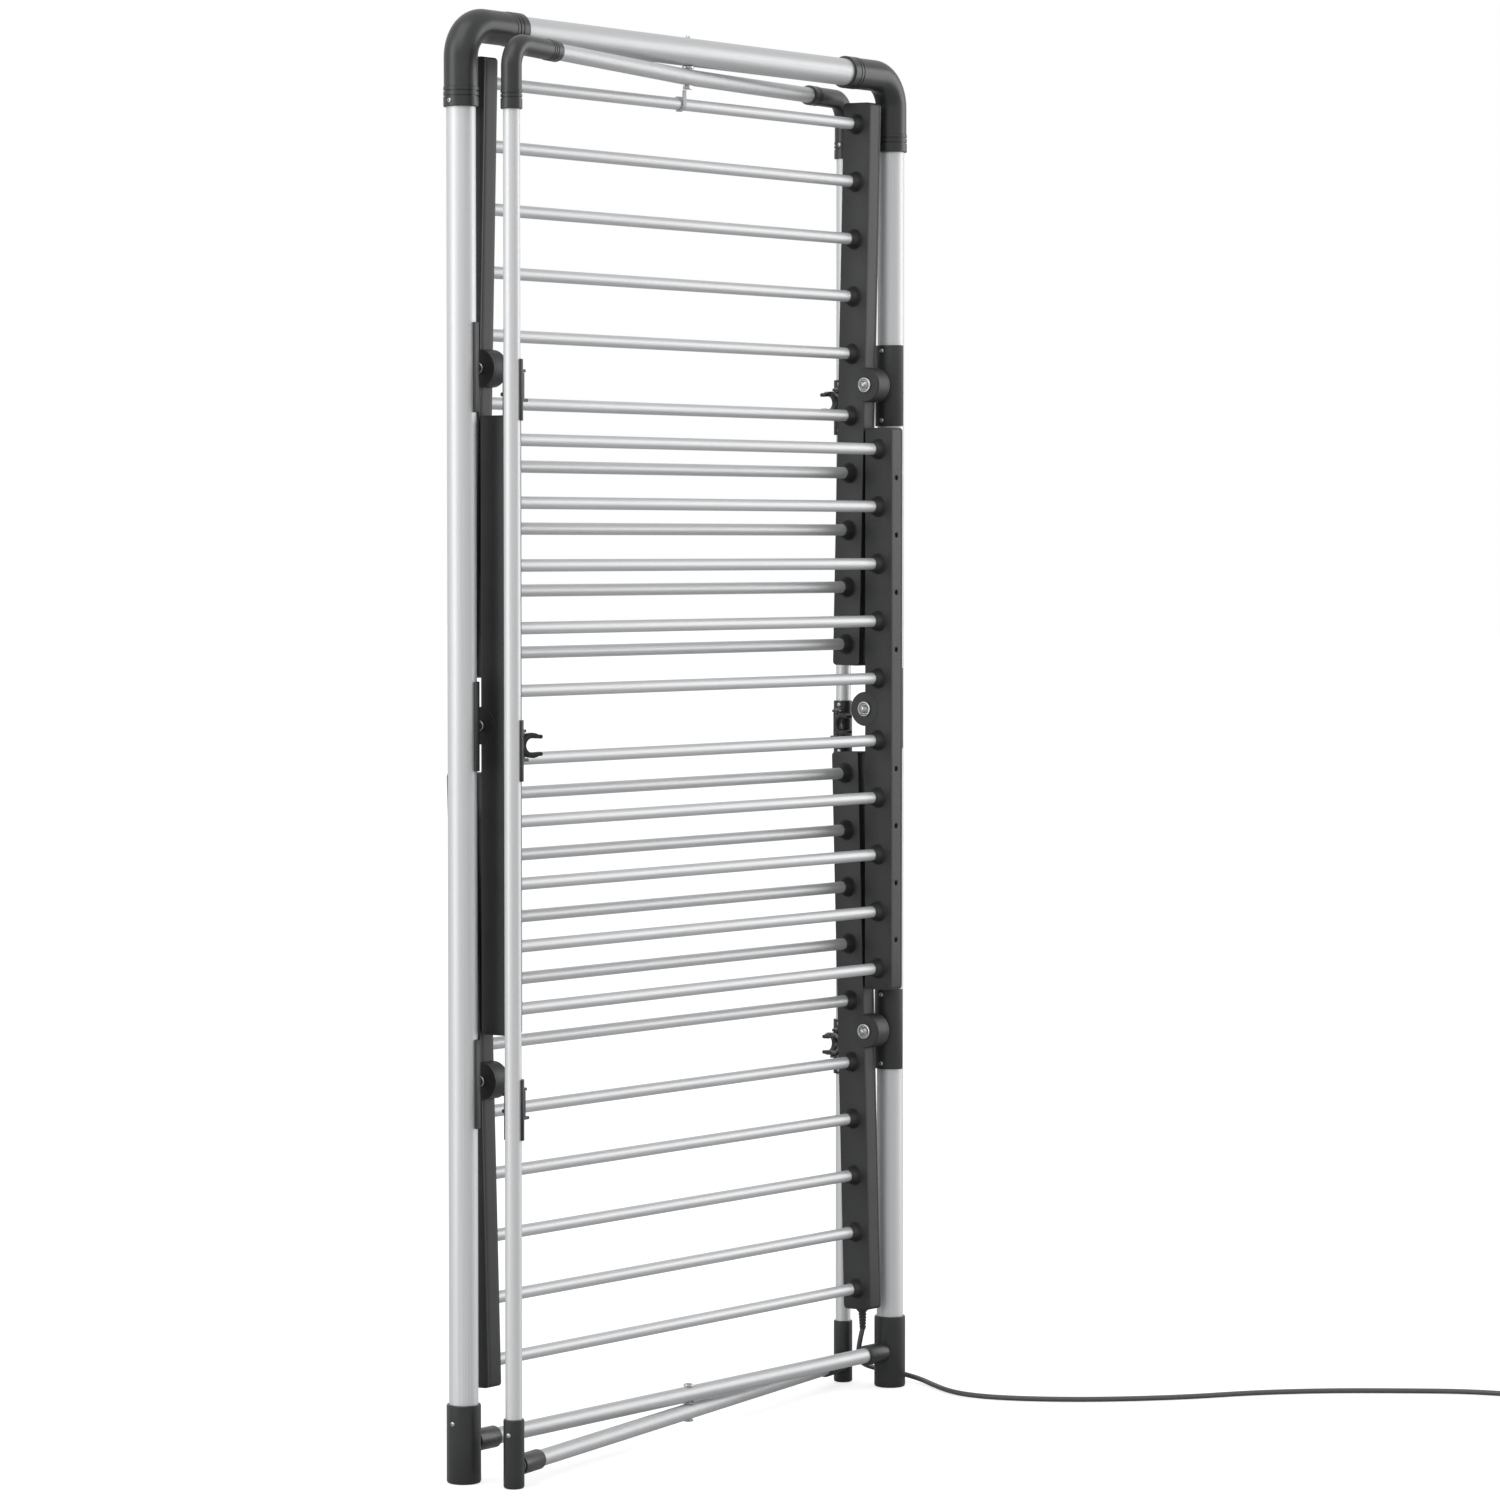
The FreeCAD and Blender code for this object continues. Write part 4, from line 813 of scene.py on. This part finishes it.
PLUG_SIZE = Vector((38.0, 34.0, 24.0))
PLUG_LOW = Vector((PLUG_X - PLUG_SIZE.x / 2, PLUG_Y, 0.3))
PLUG_PIN = 18.0
plug_grey = moulded_plastic("plug_plastic_grey", "#303132", "#353637", 0.9, 0.00006, (0.28, 0.36))
bm = bmesh.new()
block(bm, PLUG_LOW, PLUG_LOW + PLUG_SIZE, 5.0, Z, 5)
soften(bm, 1.6, 3)
entry = PLUG_LOW + Vector((PLUG_SIZE.x / 2, 0, 11.7))
lathe(bm, [(0, -2), (5.6, -2), (5.6, 2), (5.0, 3), (4.4, 9), (4.6, 10), (4.1, 11), (4.2, 14),
           (3.7, 15), (3.8, 18), (3.2, 20), (2.7, 21), (0, 21)], entry, -Y, 32)
pin_face = PLUG_LOW.y + PLUG_SIZE.y
for across, up, wide, tall, sleeve in ((0, 17.5, 4, 8, 0), (-11, 6.5, 6.4, 4, 9),
                                       (11, 6.5, 6.4, 4, 9)):
    low = Vector((entry.x + across - wide / 2, pin_face - 1, up - tall / 2))
    if sleeve:
        block(bm, low, low + Vector((wide, sleeve + 1, tall)), 0.3, None, 1)
        ease_in = Vector((0.25, 0, 0.25))
        block(bm, low + ease_in, low + Vector((wide - 0.25, PLUG_PIN + 1, tall - 0.25)), 0.5,
              None, 2, 1)
    else:
        block(bm, low, low + Vector((wide, PLUG_PIN + 1, tall)), 0.5, None, 2, 1)
plug = make_piece(bm, "lead_plug", [plug_grey, zinc], "outer_frame",
                  ["mains_plug"])
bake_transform(lead)

# ------------------------------------------------------------------ floor and light
# A plain white studio: one sheet of white floor, a soft box on each side and one overhead.
FLOOR_LIFT = 0.66
scene.view_settings.view_transform = "Standard"
bm = bmesh.new()
bmesh.ops.create_grid(bm, x_segments=1, y_segments=1, size=40.0)
sheet = bpy.data.meshes.new("floor")
bm.to_mesh(sheet)
bm.free()
floor = bpy.data.objects.new("floor", sheet)
floor.location = (0, 0, -0.0002)
scene.collection.objects.link(floor)
paper, tree = blank_material("studio_floor")
shader = add_node(tree, "ShaderNodeBsdfPrincipled",
                  values={"Base Color": linear("#b4b4b4"), "Roughness": 0.9})
glow = add_node(tree, "ShaderNodeEmission", values={"Color": linear("#ffffff")})
path = add_node(tree, "ShaderNodeLightPath")
lift = add_node(tree, "ShaderNodeMath", {"operation": "MULTIPLY"}, {1: FLOOR_LIFT},
                {0: path.outputs["Is Camera Ray"]})
tree.links.new(lift.outputs[0], glow.inputs["Strength"])
both = add_node(tree, "ShaderNodeAddShader", links={0: shader.outputs[0], 1: glow.outputs[0]})
add_node(tree, "ShaderNodeOutputMaterial", links={"Surface": both.outputs[0]})
sheet.materials.append(paper)

sky = bpy.data.worlds.new("studio")
scene.world = sky
sky.use_nodes = True
tree = sky.node_tree
tree.nodes.clear()
seen = add_node(tree, "ShaderNodeBackground", values={"Color": linear("#ffffff"), "Strength": 1.0})
lit = add_node(tree, "ShaderNodeBackground", values={"Color": linear("#ffffff"), "Strength": 0.86})
path = add_node(tree, "ShaderNodeLightPath")
both = add_node(tree, "ShaderNodeMixShader",
                links={0: path.outputs["Is Camera Ray"], 1: lit.outputs[0], 2: seen.outputs[0]})
add_node(tree, "ShaderNodeOutputWorld", links={"Surface": both.outputs[0]})
for name, spot, power, wide, tall in (("soft_box_left", (-2.4, 0.8, 1.35), 26.0, 1.2, 2.7),
                                      ("soft_box_right", (3.0, -2.1, 1.4), 52.0, 2.2, 2.8),
                                      ("soft_box_over", (-1.6, -0.4, 3.2), 26.0, 2.2, 2.2)):
    lamp = bpy.data.lights.new(name, "AREA")
    lamp.shape = "RECTANGLE"
    lamp.size, lamp.size_y = wide, tall
    lamp.energy = power
    box = bpy.data.objects.new(name, lamp)
    box.location = spot
    box.rotation_euler = (Vector((0, 0, 0.75)) - Vector(spot)).to_track_quat("-Z", "Y").to_euler()
    scene.collection.objects.link(box)
